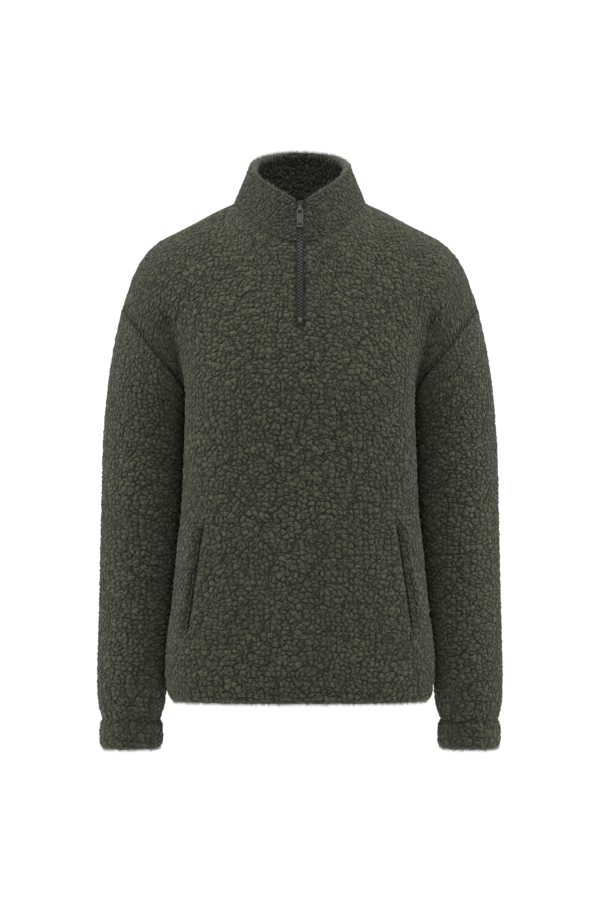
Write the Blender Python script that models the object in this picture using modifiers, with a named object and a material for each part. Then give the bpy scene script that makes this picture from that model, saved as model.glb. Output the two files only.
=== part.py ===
"""Sherpa sweatshirt with a stand collar and a short zip, filled out as if worn and empty inside.

Every size is in millimetres and becomes metres when a mesh is made. The front faces -Y, +X is the
viewer's right, and the origin is the middle of the neck at the height where the shoulders meet it.
A place across a panel is its share u, 0 at the centre line and 1 at the side seam or armhole.
"""

import math

import bmesh
import bpy
import numpy as np
from mathutils import Vector

MM = 0.001
WALL = 4.0
COLLAR_WALL = 8.0
SEAM_GAP = 0.35
COLLAR_GAP = 0.5
SEAM_Y = 6.0
SLIT_HALF = 4.8
SLIT_BOTTOM_STEP = 5
UPPER_STEPS = 12
UPPER_EASINGS = 10
EASE_EDGE = 0.09
EASE_FADE = 0.4
FULLNESS = 2.6
CORNER_FRONT = 58.0
CORNER_BACK = 62.0
SIDE_HOLD = 1.8
SECTION_POINTS = 90
SIDE_POINTS = 30
RIDGE_POINTS = 80
SHARP_ANGLE = math.radians(40)

# A wall's rim lies in the plane of the armhole from this share of the upper part's height.
IN_PLANE_FROM = {-1.0: 0.2, 1.0: 0.1}
IN_PLANE_EASE = 0.2

NECK_SHARE = 0.42
NECK_HALF_WIDTH = 92.0
NECK_FRONT = (-101.0, -62.0)
NECK_BACK = (72.0, 12.0)
RIM_HALF_WIDTH = 67.5
RIM_FRONT_Y = -84.0
RIM_BACK_Y = 66.0
RIM_HALF_WALL = 4.0
RIM_DROP = 5.0
RIM_Z = (-3.6, 77.8)
RIM_RISE = 1.15
NECK_EASINGS = 5
NECK_ANGLE_STEP = 0.01
COLLAR_STEPS = 5

FLEECE = (0.060, 0.075, 0.045, 1.0)
FLEECE_SHADE = (0.050, 0.062, 0.038, 1.0)
TAPE = (0.035, 0.040, 0.030, 1.0)
METAL = (0.090, 0.090, 0.085, 1.0)


def table(columns, *rows):
    """A table's columns by name, each an array with one value for each row."""
    return dict(zip(columns.split(), np.array(rows, float).T))


# Sections of the body from the turned-under hem up to the underarm: depths in front of and behind
# the middle, half width at the rounded corners and half width at the side seam.
BODY = table(
    "z front back corner side",
    (-681.0, 113.0, 97.0, 161.0, 156.0),
    (-684.0, 120.0, 104.5, 168.0, 163.0),
    (-680.5, 127.5, 112.0, 175.5, 168.5),
    (-668.0, 132.5, 118.5, 181.0, 173.0),
    (-647.0, 134.8, 121.0, 183.3, 174.5),
    (-617.0, 135.3, 120.5, 183.0, 172.5),
    (-592.0, 135.2, 119.0, 180.5, 169.0),
    (-568.0, 134.7, 117.5, 177.0, 165.0),
    (-528.0, 133.4, 114.5, 172.5, 159.5),
    (-476.0, 131.5, 111.5, 167.5, 154.0),
    (-435.0, 130.3, 110.5, 163.0, 150.5),
    (-390.0, 130.0, 111.0, 160.0, 148.0),
    (-335.0, 130.3, 114.0, 158.0, 146.3),
    (-275.0, 131.5, 119.5, 156.5, 145.0),
)
FRONT_ROWS = (0, 1, 2, 3, 4, 5, 5.5, 6, 6.5, 7, 7.5, 8, 8.5, 9, 9.5, 10, 10.5, 11, 12, 13)
BACK_ROWS = (0, 1, 2, 3, 4, 5, 6, 7, 8, 9, 10, 11, 12, 13)

# The shoulder seam from the neck to the tip of the dropped shoulder, seen from the front.
SHOULDER = table(
    "x z",
    (92.0, 0.0),
    (104.0, -5.5),
    (123.0, -14.0),
    (145.0, -26.5),
    (171.5, -40.0),
    (192.5, -51.0),
    (210.0, -66.0),
    (226.5, -90.0),
    (233.5, -108.0),
    (239.5, -125.0),
    (246.5, -144.0),
)

# How a lengthwise line of a panel leaves the underarm level and how it comes in at the top, as the
# handles of its curve: out is away from the middle of the body, up is along +Z, and aside is away
# from the centre line.
HANDLES = table(
    "u start_out start_up end_out_front end_out_back end_up end_aside",
    (0.00, 0.0, 82.0, 14.0, 16.0, -46.0, 0.0),
    (0.20, 0.0, 82.0, 22.0, 26.0, -42.0, 7.0),
    (0.35, 0.0, 83.0, 44.0, 42.0, -32.0, 24.0),
    (0.42, 0.0, 84.0, 66.0, 58.0, -30.0, 24.0),
    (0.49, 2.0, 85.0, 76.0, 71.0, -17.0, 10.0),
    (0.56, 5.0, 84.0, 81.0, 79.0, -8.0, 2.0),
    (0.70, 22.0, 68.0, 87.0, 86.0, 0.0, 0.0),
    (0.80, 42.0, 45.0, 91.0, 91.0, 0.0, 0.0),
    (0.88, 62.0, 26.0, 94.0, 94.0, 0.0, 0.0),
    (0.95, 83.0, 9.0, 97.0, 97.0, 0.0, 0.0),
    (1.00, 98.7, 0.0, 98.7, 98.7, 0.0, 0.0),
)

# Creases, seen from the front: they run from one end to the other and press the panel in.
CREASES = table(
    "x1 z1 x2 z2 half_width depth fade_in fade_out",
    (178.0, -140.0, 163.0, -268.0, 13.0, 9.0, 0.3, 0.25),
)

# Slanted pocket mouths: the lip's line, seen from the front, the step behind it, and how far above
# and below the mouth the panel's columns still follow it.
POCKET = {"x1": 127.0, "z1": -436.0, "x2": 149.0, "z2": -590.0}
POCKET_STEP = 2.6
POCKET_DEPTH = 7.5
POCKET_WIDTH = 17.0
POCKET_END = 0.12
POCKET_HOLD = 70.0
LIP_RISE = 1.5
LIP_MIDDLE = -4.0
LIP_SPREAD = 7.0
LIP_END = 0.5
LIP_COLUMN = 7

# The strip in a pocket's mouth, from the lip's step to its outer edge: place across and thickness.
FACING = table(
    "share wall",
    (0.12, 2.4),
    (0.40, 2.4),
    (0.70, 1.9),
    (0.96, 0.85),
)
FACING_LIFT = 0.8
FACING_TOP = -440.0
FACING_FOOT = -588.0

# Where the lengthwise lines of the panels stand, from the centre line to the side.
FRONT_SHARES = (0.0, 0.09, 0.18, 0.27, 0.36, 0.42, 0.49, 0.56, 0.585, 0.66, 0.73, 0.80, 0.87, 0.94, 1.0)
BACK_SHARES = (0.0, 0.1, 0.2, 0.28, 0.34, 0.38, 0.42, 0.49, 0.56, 0.64, 0.72, 0.80, 0.87, 0.94, 1.0)

# Rings of a sleeve from the armhole to the cuff: its outer and inner edges seen from the front, the
# middle of its depth, and how far it reaches to the front and to the back of that.
SLEEVE = table(
    "outer_x outer_z inner_x inner_z y front back",
    (246.5, -144.0, 145.0, -275.0, 6.0, 74.0, 74.0),
    (248.5, -157.0, 147.5, -281.0, 6.5, 73.5, 74.0),
    (252.5, -173.0, 149.5, -288.0, 7.0, 72.5, 73.5),
    (258.5, -202.0, 151.0, -299.0, 8.5, 70.5, 72.0),
    (264.0, -234.0, 151.8, -313.0, 10.0, 68.5, 70.0),
    (268.6, -273.0, 152.6, -330.0, 11.5, 66.5, 68.0),
    (272.8, -325.0, 154.0, -355.0, 12.0, 65.0, 66.0),
    (274.8, -390.0, 156.5, -402.0, 11.0, 63.5, 64.0),
    (276.0, -450.0, 160.0, -454.0, 8.5, 61.5, 62.0),
    (277.0, -510.0, 165.5, -512.0, 4.0, 58.5, 59.0),
    (278.0, -570.0, 171.5, -571.0, -4.0, 55.5, 56.0),
    (278.8, -622.0, 177.0, -622.0, -12.0, 53.0, 53.0),
    (279.0, -655.0, 181.0, -655.0, -18.0, 51.0, 51.0),
    (278.2, -675.0, 183.2, -675.0, -22.0, 49.5, 49.5),
    (276.8, -691.0, 185.0, -691.0, -25.0, 47.5, 47.5),
    (275.0, -701.0, 187.2, -701.0, -26.5, 45.5, 45.5),
    (273.0, -709.4, 190.0, -709.4, -27.0, 43.0, 43.0),
)

# Rings of a cuff from its seam to the turned-under lower edge.
CUFF = table(
    "outer_x outer_z inner_x inner_z y front back",
    (273.0, -709.8, 190.0, -709.8, -27.0, 43.0, 43.0),
    (275.0, -713.5, 187.9, -713.5, -27.0, 45.0, 45.0),
    (275.8, -722.0, 187.0, -722.0, -27.5, 45.8, 45.8),
    (275.6, -733.0, 186.9, -733.0, -27.5, 45.8, 45.8),
    (274.6, -742.5, 188.0, -742.5, -28.0, 45.0, 45.0),
    (271.8, -748.8, 191.4, -748.8, -28.0, 42.2, 42.2),
    (267.5, -751.0, 195.8, -751.0, -28.0, 38.0, 38.0),
    (263.5, -749.6, 199.6, -749.6, -28.0, 34.2, 34.2),
)

# The zip, measured along the centre line: heights are where they lie on the front.
TAPE_TOP = -6.0
TAPE_BOTTOM = -173.0
TAPE_DEPTH = 2.0
TAPE_WALL = 1.4
TAPE_INNER = 0.25
TAPE_OUTER = 4.45
TAPE_ROWS = 18
STOP_TOP = -164.5
STOP_HEIGHT = 5.4
STOP_WIDTH = 5.0
STOP_WALL = 1.9
SLIDER_TOP = -4.5
SLIDER_HEIGHT = 14.5
SLIDER_TOP_WIDTH = 8.4
SLIDER_FOOT_WIDTH = 6.6
SLIDER_BACK = 1.3
SLIDER_FRONT = -1.5
SLIDER_EDGE = 0.6
STOP_EDGE = 0.4
PIVOT_Z = -16.7
PIVOT_OUT = 2.7
FRAME_REACH = 3.0
BAIL_WIRE = 0.7
BAIL_BEND = 1.2
BAIL_ROOT = 0.8
BAIL_OUT = 4.5
BAIL_ABOVE = 5.6
BAIL_BELOW = 2.1
BEND_STEPS = 3
TAB_WIDTH = 9.0
TAB_LENGTH = 26.0
TAB_WALL = 1.3
TAB_BAR = 0.7
TAB_CORNER = 1.5
TAB_SLOT = (4.2, 5.6)
TAB_HOLE = (4.8, 3.2)
TAB_HOLE_CORNER = 1.0
TAB_HOLE_MARGIN = 2.0
WELD = 0.00001


def clear_scene():
    for obj in list(bpy.data.objects):
        bpy.data.objects.remove(obj, do_unlink=True)


def smooth_step(share):
    share = np.clip(share, 0.0, 1.0)
    return share * share * (3.0 - 2.0 * share)


def smooth_rows(rows, at):
    """The table's values at a place between its rows, on a smooth curve through them."""
    points = np.stack(list(rows.values()), axis=1)
    knots = np.concatenate([[0.0], np.cumsum(np.linalg.norm(np.diff(points, axis=0), axis=1))])
    place = np.interp(at, np.arange(len(points)), knots)
    slopes = np.gradient(points, knots, axis=0)
    low = np.clip(np.searchsorted(knots, place, side="right") - 1, 0, len(points) - 2)
    span = (knots[low + 1] - knots[low])[..., None]
    t = (place - knots[low])[..., None] / span
    found = (
        (1 + 2 * t) * (1 - t) ** 2 * points[low]
        + t * (1 - t) ** 2 * span * slopes[low]
        + t * t * (3 - 2 * t) * points[low + 1]
        - t * t * (1 - t) * span * slopes[low + 1]
    )
    return dict(zip(rows, np.moveaxis(found, -1, 0)))


def along(points, shares):
    """Points at shares of the length of a path."""
    lengths = np.concatenate([[0.0], np.cumsum(np.linalg.norm(np.diff(points, axis=0), axis=1))])
    place = np.asarray(shares) * lengths[-1]
    return np.stack([np.interp(place, lengths, points[:, axis]) for axis in range(3)], axis=-1)


def curve(start, start_handle, end_handle, end, t):
    """Points of a Bezier curve, its handles given from its ends."""
    t = np.asarray(t)[..., None]
    return (
        (1 - t) ** 3 * start
        + 3 * (1 - t) ** 2 * t * (start + start_handle)
        + 3 * (1 - t) * t * t * (end + end_handle)
        + t**3 * end
    )


def body_section(row, facing, first_x):
    """Half a section of the body, from first_x beside the centre line to the side seam."""
    sizes = smooth_rows(BODY, np.array([float(row)]))
    z, corner, side = (float(sizes[name][0]) for name in ("z", "corner", "side"))
    depth = float(sizes["front" if facing < 0 else "back"][0])
    corner_y = CORNER_FRONT if facing < 0 else CORNER_BACK
    angle = np.linspace(0.0, math.pi / 2, SECTION_POINTS)
    x = corner * np.sin(angle) ** (2 / FULLNESS)
    y = facing * (corner_y + (depth - corner_y) * np.cos(angle) ** (2 / FULLNESS))
    left = np.linspace(1.0, 0.0, SIDE_POINTS)[1:]
    side_x = side + (corner - side) * smooth_step(left) ** SIDE_HOLD
    side_y = SEAM_Y + (facing * corner_y - SEAM_Y) * left
    path = np.stack([np.append(x, side_x), np.append(y, side_y)], axis=1)
    keep = path[:, 0] > first_x
    start = [first_x, np.interp(first_x, x, y)]
    path = np.concatenate([[start], path[keep]])
    return np.column_stack([path, np.full(len(path), z)])


def neck_seam(angle):
    """The seam between body and collar: 0 at the centre front, pi at the centre back."""
    cosine = np.cos(angle)
    front = cosine > 0
    reach_y = np.where(front, SEAM_Y - NECK_FRONT[0], NECK_BACK[0] - SEAM_Y)
    rise = np.where(front, NECK_FRONT[1], NECK_BACK[1])
    return np.stack(
        [NECK_HALF_WIDTH * np.sin(angle), SEAM_Y - reach_y * cosine, rise * cosine**2], axis=-1
    )


def neck_angle(u, facing, first_x):
    """The angle round the neck of a share u of a panel, for u up to NECK_SHARE."""
    first = math.asin(first_x / NECK_HALF_WIDTH)
    angle = first + (math.pi / 2 - first) * np.clip(u / NECK_SHARE, 0.0, 1.0)
    return angle if facing < 0 else math.pi - angle


def top_edge(shares, facing, first_x):
    """The upper edge of a panel: the neckline, then the shoulder seam out to its tip."""
    neckline = neck_seam(neck_angle(shares, facing, first_x))
    steps = np.linspace(0, len(SHOULDER["x"]) - 1, RIDGE_POINTS)
    ridge = smooth_rows(SHOULDER, steps)
    path = np.column_stack([ridge["x"], np.full(len(steps), SEAM_Y), ridge["z"]])
    shoulder = along(path, np.clip((shares - NECK_SHARE) / (1 - NECK_SHARE), 0.0, 1.0))
    return np.where(shares[:, None] <= NECK_SHARE, neckline, shoulder)


def pocket_lip_x(z):
    share = (z - POCKET["z1"]) / (POCKET["z2"] - POCKET["z1"])
    return POCKET["x1"] + (POCKET["x2"] - POCKET["x1"]) * share


def pocket_strength(z):
    """How open the pocket mouth is at a height, 0 past its ends."""
    share = (POCKET["z1"] - z) / (POCKET["z1"] - POCKET["z2"])
    return smooth_step(share / POCKET_END) * smooth_step((1 - share) / POCKET_END)


def row_shares(shares, path, z):
    """The shares of a row's columns, moved so that two of them follow the pocket's lip."""
    lengths = np.concatenate([[0.0], np.cumsum(np.linalg.norm(np.diff(path, axis=0), axis=1))])
    widest = int(np.argmax(path[:, 0]))
    lip_x = pocket_lip_x(np.clip(z, POCKET["z2"], POCKET["z1"]))
    lip = np.interp(lip_x, path[: widest + 1, 0], lengths[: widest + 1]) / lengths[-1]
    past = max(z - POCKET["z1"], POCKET["z2"] - z, 0.0)
    hold = 1.0 - smooth_step(past / POCKET_HOLD)
    lip = shares[LIP_COLUMN] + (lip - shares[LIP_COLUMN]) * hold
    foot = lip + POCKET_STEP / lengths[-1]
    foot = shares[LIP_COLUMN + 1] + (foot - shares[LIP_COLUMN + 1]) * hold
    nominal = [0.0, shares[LIP_COLUMN], shares[LIP_COLUMN + 1], 1.0]
    return np.interp(shares, nominal, [0.0, lip, foot, 1.0])


def press_in(points, facing):
    """Adds the creases and, on the front, the pocket mouths to a grid of points."""
    x, z = points[..., 0], points[..., 2]
    depth = np.zeros(x.shape)
    for x1, z1, x2, z2, half_width, deep, fade_in, fade_out in zip(*CREASES.values()):
        length = math.hypot(x2 - x1, z2 - z1)
        run = ((x - x1) * (x2 - x1) + (z - z1) * (z2 - z1)) / length**2
        off = ((x - x1) * (z2 - z1) - (z - z1) * (x2 - x1)) / length
        fade = smooth_step(run / fade_in) * smooth_step((1 - run) / fade_out)
        depth += deep * np.exp(-((off / half_width) ** 2)) * fade
    if facing < 0:
        past = x - pocket_lip_x(z)
        step = smooth_step(past / POCKET_STEP) * (1 - smooth_step(past / POCKET_WIDTH))
        lip = np.exp(-(((past - LIP_MIDDLE) / LIP_SPREAD) ** 2)) * (past <= LIP_END)
        depth += pocket_strength(z) * (POCKET_DEPTH * step - LIP_RISE * lip)
    pressed = points.copy()
    pressed[..., 1] -= facing * depth
    return pressed


def eased_across(grid, first_row):
    """The grid with its upper rows evened from column to column, its edges and what is near them held."""
    grid = grid.copy()
    lengths = np.linalg.norm(np.diff(grid, axis=1), axis=-1)
    place = (lengths[:, :-1] / (lengths[:, :-1] + lengths[:, 1:]))[first_row:-1, :, None]
    up = np.linspace(0.0, 1.0, len(grid) - first_row)[:-1, None, None]
    side = np.linspace(0.0, 1.0, grid.shape[1])[1:-1, None]
    amount = smooth_step(up / EASE_FADE) * smooth_step((1 - EASE_EDGE - up) / EASE_FADE)
    amount = amount * smooth_step((1 - 2 * EASE_EDGE - side) / EASE_FADE)
    for turn in range(UPPER_EASINGS):
        rows = grid[first_row:-1]
        between = rows[:, :-2] + (rows[:, 2:] - rows[:, :-2]) * place
        rows[:, 1:-1] += (between - rows[:, 1:-1]) * amount / 2
    return grid


def half_panel(facing, first_x, shares, rows, steps):
    """Half a panel as a grid: rows go up from the hem, columns go out from the centre line."""
    shares = np.asarray(shares, float)
    grid = []
    for row in rows:
        path = body_section(row, facing, first_x)
        placed = row_shares(shares, path, path[0, 2]) if facing < 0 else shares
        grid.append(along(path, placed))
    low = grid[-1]
    high = top_edge(shares, facing, first_x)
    ends = smooth_rows(HANDLES, np.interp(shares, HANDLES["u"], np.arange(len(HANDLES["u"]))))
    end_out = ends["end_out_front" if facing < 0 else "end_out_back"]
    slope = (low - grid[-2]) / (low - grid[-2])[:, 2:]
    leave = slope * ends["start_up"][:, None]
    leave[:, 1] += facing * ends["start_out"]
    come_in = np.column_stack([ends["end_aside"], facing * end_out, ends["end_up"]])
    for step in range(1, steps + 1):
        grid.append(curve(low, leave, come_in, high, np.full(len(shares), step / steps)))
    return press_in(eased_across(np.array(grid), len(rows)), facing)


def normals_of(grid, around=False):
    """Unit normals of a grid of points, outwards where rows go up and columns go to +X in front."""
    padded = np.concatenate([grid[:, -1:], grid, grid[:, :1]], axis=1) if around else grid
    across = np.gradient(padded, axis=1)
    up = np.gradient(padded, axis=0)
    normal = np.cross(across, up)
    if around:
        normal = normal[:, 1:-1]
    return normal / np.linalg.norm(normal, axis=-1, keepdims=True)


def flattened(vectors, normal, amount=1.0):
    """Vectors turned towards the plane with this normal, by amount, and made unit length again."""
    normal = np.asarray(normal) / np.linalg.norm(normal)
    amount = np.asarray(amount)[..., None]
    turned = vectors - amount * (vectors @ normal)[..., None] * normal
    return turned / np.linalg.norm(turned, axis=-1, keepdims=True)


def armhole_normal():
    """The unit normal of the armhole's plane, pointing down into the sleeve at +X."""
    rise = SLEEVE["outer_z"][0] - SLEEVE["inner_z"][0]
    run = SLEEVE["outer_x"][0] - SLEEVE["inner_x"][0]
    return np.array([rise, 0.0, -run]) / math.hypot(rise, run)


def neck_column(half):
    """The column of half a panel that ends where the shoulder seam meets the neck."""
    return int(np.argmin(abs(half[-1, :, 0] - NECK_HALF_WIDTH)))


def seam_normals(half, facing, rows):
    """The through-wall directions of half a panel, lying in the seam's plane where seams are planar."""
    normal = normals_of(half) * (-1.0 if facing > 0 else 1.0)
    seam_plane = (0.0, 1.0, 0.0)
    normal[:rows, -1] = flattened(normal[:rows, -1], seam_plane)
    upper = np.linspace(0.0, 1.0, len(half) - rows + 1)
    in_plane = smooth_step((upper - IN_PLANE_FROM[facing]) / IN_PLANE_EASE)
    normal[rows - 1 :, -1] = flattened(normal[rows - 1 :, -1], armhole_normal(), in_plane)
    shoulder = slice(neck_column(half), None)
    normal[-1, shoulder] = flattened(normal[-1, shoulder], seam_plane)
    normal[:, 0] = flattened(normal[:, 0], (1.0, 0.0, 0.0))
    return normal


def mirrored(half):
    """A whole grid from its half at +X, each vector or point mirrored to -X as well."""
    flip = half[:, ::-1] * np.array([-1.0, 1.0, 1.0])
    return np.concatenate([flip, half], axis=1)


def plain_material(name, colour=FLEECE, roughness=0.95, metallic=0.0):
    material = bpy.data.materials.new(name)
    material.use_nodes = True
    surface = material.node_tree.nodes["Principled BSDF"]
    surface.inputs["Base Color"].default_value = colour
    surface.inputs["Roughness"].default_value = roughness
    surface.inputs["Metallic"].default_value = metallic
    material.diffuse_color = colour
    return material


def add_object(name, mesh, material, group):
    obj = bpy.data.objects.new(name, mesh)
    mesh.materials.clear()
    mesh.materials.append(material)
    group.objects.link(obj)
    return obj


def cloth_wall(name, outer, inner, material, group, around=False, left_out=()):
    """A closed wall of cloth: the outer grid thickened by Solidify, its inner side then set exactly."""
    rows, columns = outer.shape[:2]
    index = np.arange(rows * columns).reshape(rows, columns)
    faces = []
    for row in range(rows - 1):
        for column in range(columns if around else columns - 1):
            beside = (column + 1) % columns
            if (row, column) not in left_out:
                low, high = index[row], index[row + 1]
                faces.append((low[column], low[beside], high[beside], high[column]))
    used = sorted({int(corner) for face in faces for corner in face})
    place = {corner: number for number, corner in enumerate(used)}
    points = outer.reshape(-1, 3)[used] * MM
    surface = bpy.data.meshes.new(name)
    surface.from_pydata(points.tolist(), [], [[place[int(corner)] for corner in face] for face in faces])
    obj = bpy.data.objects.new(name, surface)
    group.objects.link(obj)
    thicken = obj.modifiers.new("Wall", "SOLIDIFY")
    thicken.thickness = WALL * MM
    thicken.offset = -1.0
    graph = bpy.context.evaluated_depsgraph_get()
    mesh = bpy.data.meshes.new_from_object(obj.evaluated_get(graph))
    bpy.data.objects.remove(obj, do_unlink=True)
    bpy.data.meshes.remove(surface)
    for vertex, point in zip(mesh.vertices[len(used) :], inner.reshape(-1, 3)[used] * MM):
        vertex.co = point
    mesh.name = name
    mesh.shade_smooth()
    return add_object(name, mesh, material, group)


def loft(name, rings, material, group):
    """A closed solid through rings of points, capped at both ends."""
    rings = np.asarray(rings)
    count, around = rings.shape[:2]
    build = bmesh.new()
    made = [[build.verts.new(point * MM) for point in ring] for ring in rings]
    for low, high in zip(made, made[1:]):
        for corner in range(around):
            beside = (corner + 1) % around
            build.faces.new((low[corner], low[beside], high[beside], high[corner]))
    build.faces.new(made[0][::-1])
    build.faces.new(made[count - 1])
    bmesh.ops.recalc_face_normals(build, faces=build.faces)
    mesh = bpy.data.meshes.new(name)
    build.to_mesh(mesh)
    build.free()
    mesh.shade_smooth()
    mesh.set_sharp_from_angle(angle=SHARP_ANGLE)
    return add_object(name, mesh, material, group)


def side_gap(half, facing, rows):
    """Draws the side seam and the shoulder seam back by half a seam gap from their plane."""
    moved = half.copy()
    away = facing * SEAM_GAP / 2
    moved[:rows, -1, 1] += away
    moved[-1, neck_column(half) :, 1] += away
    return moved


def share_neck_point(front, back):
    """Gives both panels one through-wall direction at the neck point, and eases it round the neck."""
    places = [(half, normal, neck_column(half)) for half, normal in (front, back)]
    shared = sum(normal[-1, column] for half, normal, column in places)
    shared /= np.linalg.norm(shared)
    for half, normal, column in places:
        normal[-1, column] = shared
        for turn in range(NECK_EASINGS):
            edge = normal[-1, : column + 1]
            eased = edge[1:-1] + (edge[:-2] + edge[2:]) / 2
            edge[1:-1] = eased / np.linalg.norm(eased, axis=1, keepdims=True)


def make_front(half, normal, group):
    rows = len(FRONT_ROWS)
    half = side_gap(half, -1.0, rows)
    outer, inward = mirrored(half), mirrored(normal)
    slit = len(FRONT_SHARES) - 1
    first = rows - 1 + SLIT_BOTTOM_STEP
    left_out = {(row, slit) for row in range(first, len(half) - 1)}
    cloth_wall("front", outer, outer - WALL * inward, plain_material("front"), group, left_out=left_out)


def make_back(half, normal, group):
    half = side_gap(half, 1.0, len(BACK_ROWS))
    flip = np.array([-1.0, 1.0, 1.0])
    outer = np.concatenate([half[:, :0:-1], half * flip], axis=1)
    inward = np.concatenate([normal[:, :0:-1], normal * flip], axis=1)
    cloth_wall("back", outer, outer - WALL * inward, plain_material("back"), group)


def tube_rings(rows):
    """Rings of a sleeve or cuff at +X, each from its inner edge round the front to its outer edge."""
    t = np.linspace(0.0, 1.0, UPPER_STEPS + 1)
    rings = []
    for outer_x, outer_z, inner_x, inner_z, y, front, back in zip(*rows.values()):
        inside = np.array([inner_x, y, inner_z])
        outside = np.array([outer_x, y, outer_z])
        reach = np.array([0.0, 4.0 / 3.0, 0.0])
        ahead = curve(inside, -front * reach, -front * reach, outside, t)
        behind = curve(outside, back * reach, back * reach, inside, t)
        rings.append(np.concatenate([ahead[:-1], behind[:-1]]))
    return np.array(rings)


def make_tube(name, rows, side, start_gap, group):
    """A sleeve or a cuff on one side, a wall round its rings."""
    rings = tube_rings(rows)
    rings[0] += start_gap
    rings = rings[::-1] * np.array([side, 1.0, 1.0])
    if side < 0:
        rings = rings[:, ::-1]
    normal = normals_of(rings, around=True)
    top_plane = np.array([side, 1.0, 1.0]) * armhole_normal()
    seam_plane = top_plane if name.startswith("sleeve") else (0.0, 0.0, 1.0)
    normal[-1] = flattened(normal[-1], seam_plane)
    if name.startswith("sleeve"):
        normal[0] = flattened(normal[0], (0.0, 0.0, 1.0))
    cloth_wall(name, rings, rings - WALL * normal, plain_material(name), group, around=True)


def collar_rim(angle):
    """The top of the collar, 0 at the centre front, pi at the centre back."""
    middle = (RIM_FRONT_Y + RIM_BACK_Y) / 2
    half_depth = (RIM_BACK_Y - RIM_FRONT_Y) / 2
    rise = RIM_Z[0] + (RIM_Z[1] - RIM_Z[0]) * np.sin(angle / 2) ** RIM_RISE
    return np.stack(
        [RIM_HALF_WIDTH * np.sin(angle), middle - half_depth * np.cos(angle), rise], axis=-1
    )


def collar_section(angle, seam, through, onward):
    """The collar's closed section at one angle: up the outside, over the rim and down the inside."""
    rim = collar_rim(angle)
    half_depth = (RIM_BACK_Y - RIM_FRONT_Y) / 2
    out = np.array([np.sin(angle) / RIM_HALF_WIDTH, -np.cos(angle) / half_depth, 0.0])
    out /= np.linalg.norm(out)
    up = np.array([0.0, 0.0, 1.0])
    start = seam + COLLAR_GAP * onward
    outside = rim + RIM_HALF_WALL * out - RIM_DROP * up
    inside = rim - RIM_HALF_WALL * out - RIM_DROP * up
    start_in = start - COLLAR_WALL * through
    shares = np.linspace(0.0, 1.0, COLLAR_STEPS)[:, None]
    aside = RIM_HALF_WALL * math.sin(math.pi / 4)
    lower = RIM_DROP * (1 - math.cos(math.pi / 4))
    rim_arc = [rim + aside * out - lower * up, rim, rim - aside * out - lower * up]
    return np.concatenate(
        [start + (outside - start) * shares, rim_arc, inside + (start_in - inside) * shares]
    )


def make_collar(front, back, group):
    """The collar from one edge of the zip round the back to the other."""
    sections = []
    for (half, normal), facing, first_x, shares in (
        (front, -1.0, SLIT_HALF, FRONT_SHARES),
        (back, 1.0, 0.0, BACK_SHARES),
    ):
        shares = np.array([share for share in shares if share <= NECK_SHARE])
        angles = neck_angle(shares, facing, first_x)
        part = []
        for column, angle in enumerate(angles):
            through = normal[-1, column]
            seam = neck_seam(angle)
            edge = neck_seam(angle + NECK_ANGLE_STEP) - neck_seam(angle - NECK_ANGLE_STEP)
            ahead = np.cross(through, edge)
            ahead *= np.sign(ahead @ (collar_rim(angle) - seam)) / np.linalg.norm(ahead)
            part.append(collar_section(angle, seam, through, ahead))
        sections.append(part)
    half_ring = np.array(sections[0] + sections[1][-2::-1])
    half_ring[0, :, 0] = SLIT_HALF
    whole = np.concatenate([half_ring, half_ring[-2::-1] * np.array([-1.0, 1.0, 1.0])])
    loft("collar", whole, plain_material("collar"), group)
    return half_ring[0]


def front_line(front, collar_edge):
    """Heights and depths of the cloth's outside beside the zip, from the hem to the collar's top."""
    panel = front[0][len(FRONT_ROWS) - 1 :, 0]
    collar = collar_edge[1:COLLAR_STEPS]
    path = np.concatenate([panel, collar])
    return path[:, 2], path[:, 1]


def zip_point(line, z, depth):
    """The point on the centre line at a height, at a depth behind the cloth's outside."""
    step = 1.0
    y = np.interp(z, *line)
    lean = (np.interp(z + step, *line) - np.interp(z - step, *line)) / (2 * step)
    length = math.hypot(1.0, lean)
    return np.array([0.0, y + depth / length, z - depth * lean / length])


def make_tape(name, side, line, group):
    """A strip of woven tape in one half of the slit, from the zip's foot to its top."""
    rings = []
    for z in np.linspace(TAPE_BOTTOM, TAPE_TOP, TAPE_ROWS):
        face = zip_point(line, z, TAPE_DEPTH)
        rear = zip_point(line, z, TAPE_DEPTH + TAPE_WALL)
        near = np.array([side * TAPE_INNER, 0.0, 0.0])
        far = np.array([side * TAPE_OUTER, 0.0, 0.0])
        rings.append([face + near, face + far, rear + far, rear + near])
    loft(name, rings, plain_material(name, TAPE, 0.8), group)


def zip_frame(line, z, depth, group):
    """An empty on the zip at a height: its X runs across, its Y into the cloth, its Z up the zip."""
    rise = zip_point(line, z + FRAME_REACH, depth) - zip_point(line, z - FRAME_REACH, depth)
    place = zip_point(line, z, depth)
    empty = bpy.data.objects.new("zip_frame", None)
    empty.location = place * MM
    empty.rotation_euler = (-math.atan2(rise[1], rise[2]), 0.0, 0.0)
    group.objects.link(empty)
    return empty


def bevelled_box(name, size, middle, material, group, edge, foot_width=None):
    """A box with rounded edges, narrower at its foot where foot_width is given."""
    mesh = bpy.data.meshes.new(name)
    build = bmesh.new()
    bmesh.ops.create_cube(build, size=1.0)
    for vertex in build.verts:
        narrow = foot_width / size[0] if foot_width and vertex.co.z < 0 else 1.0
        vertex.co.x *= size[0] * narrow * MM
        vertex.co.y *= size[1] * MM
        vertex.co.z *= size[2] * MM
        vertex.co += Vector(middle) * MM
    build.to_mesh(mesh)
    build.free()
    obj = add_object(name, mesh, material, group)
    rounded = obj.modifiers.new("Edges", "BEVEL")
    rounded.width = edge * MM
    rounded.segments = 2
    return obj


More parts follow.
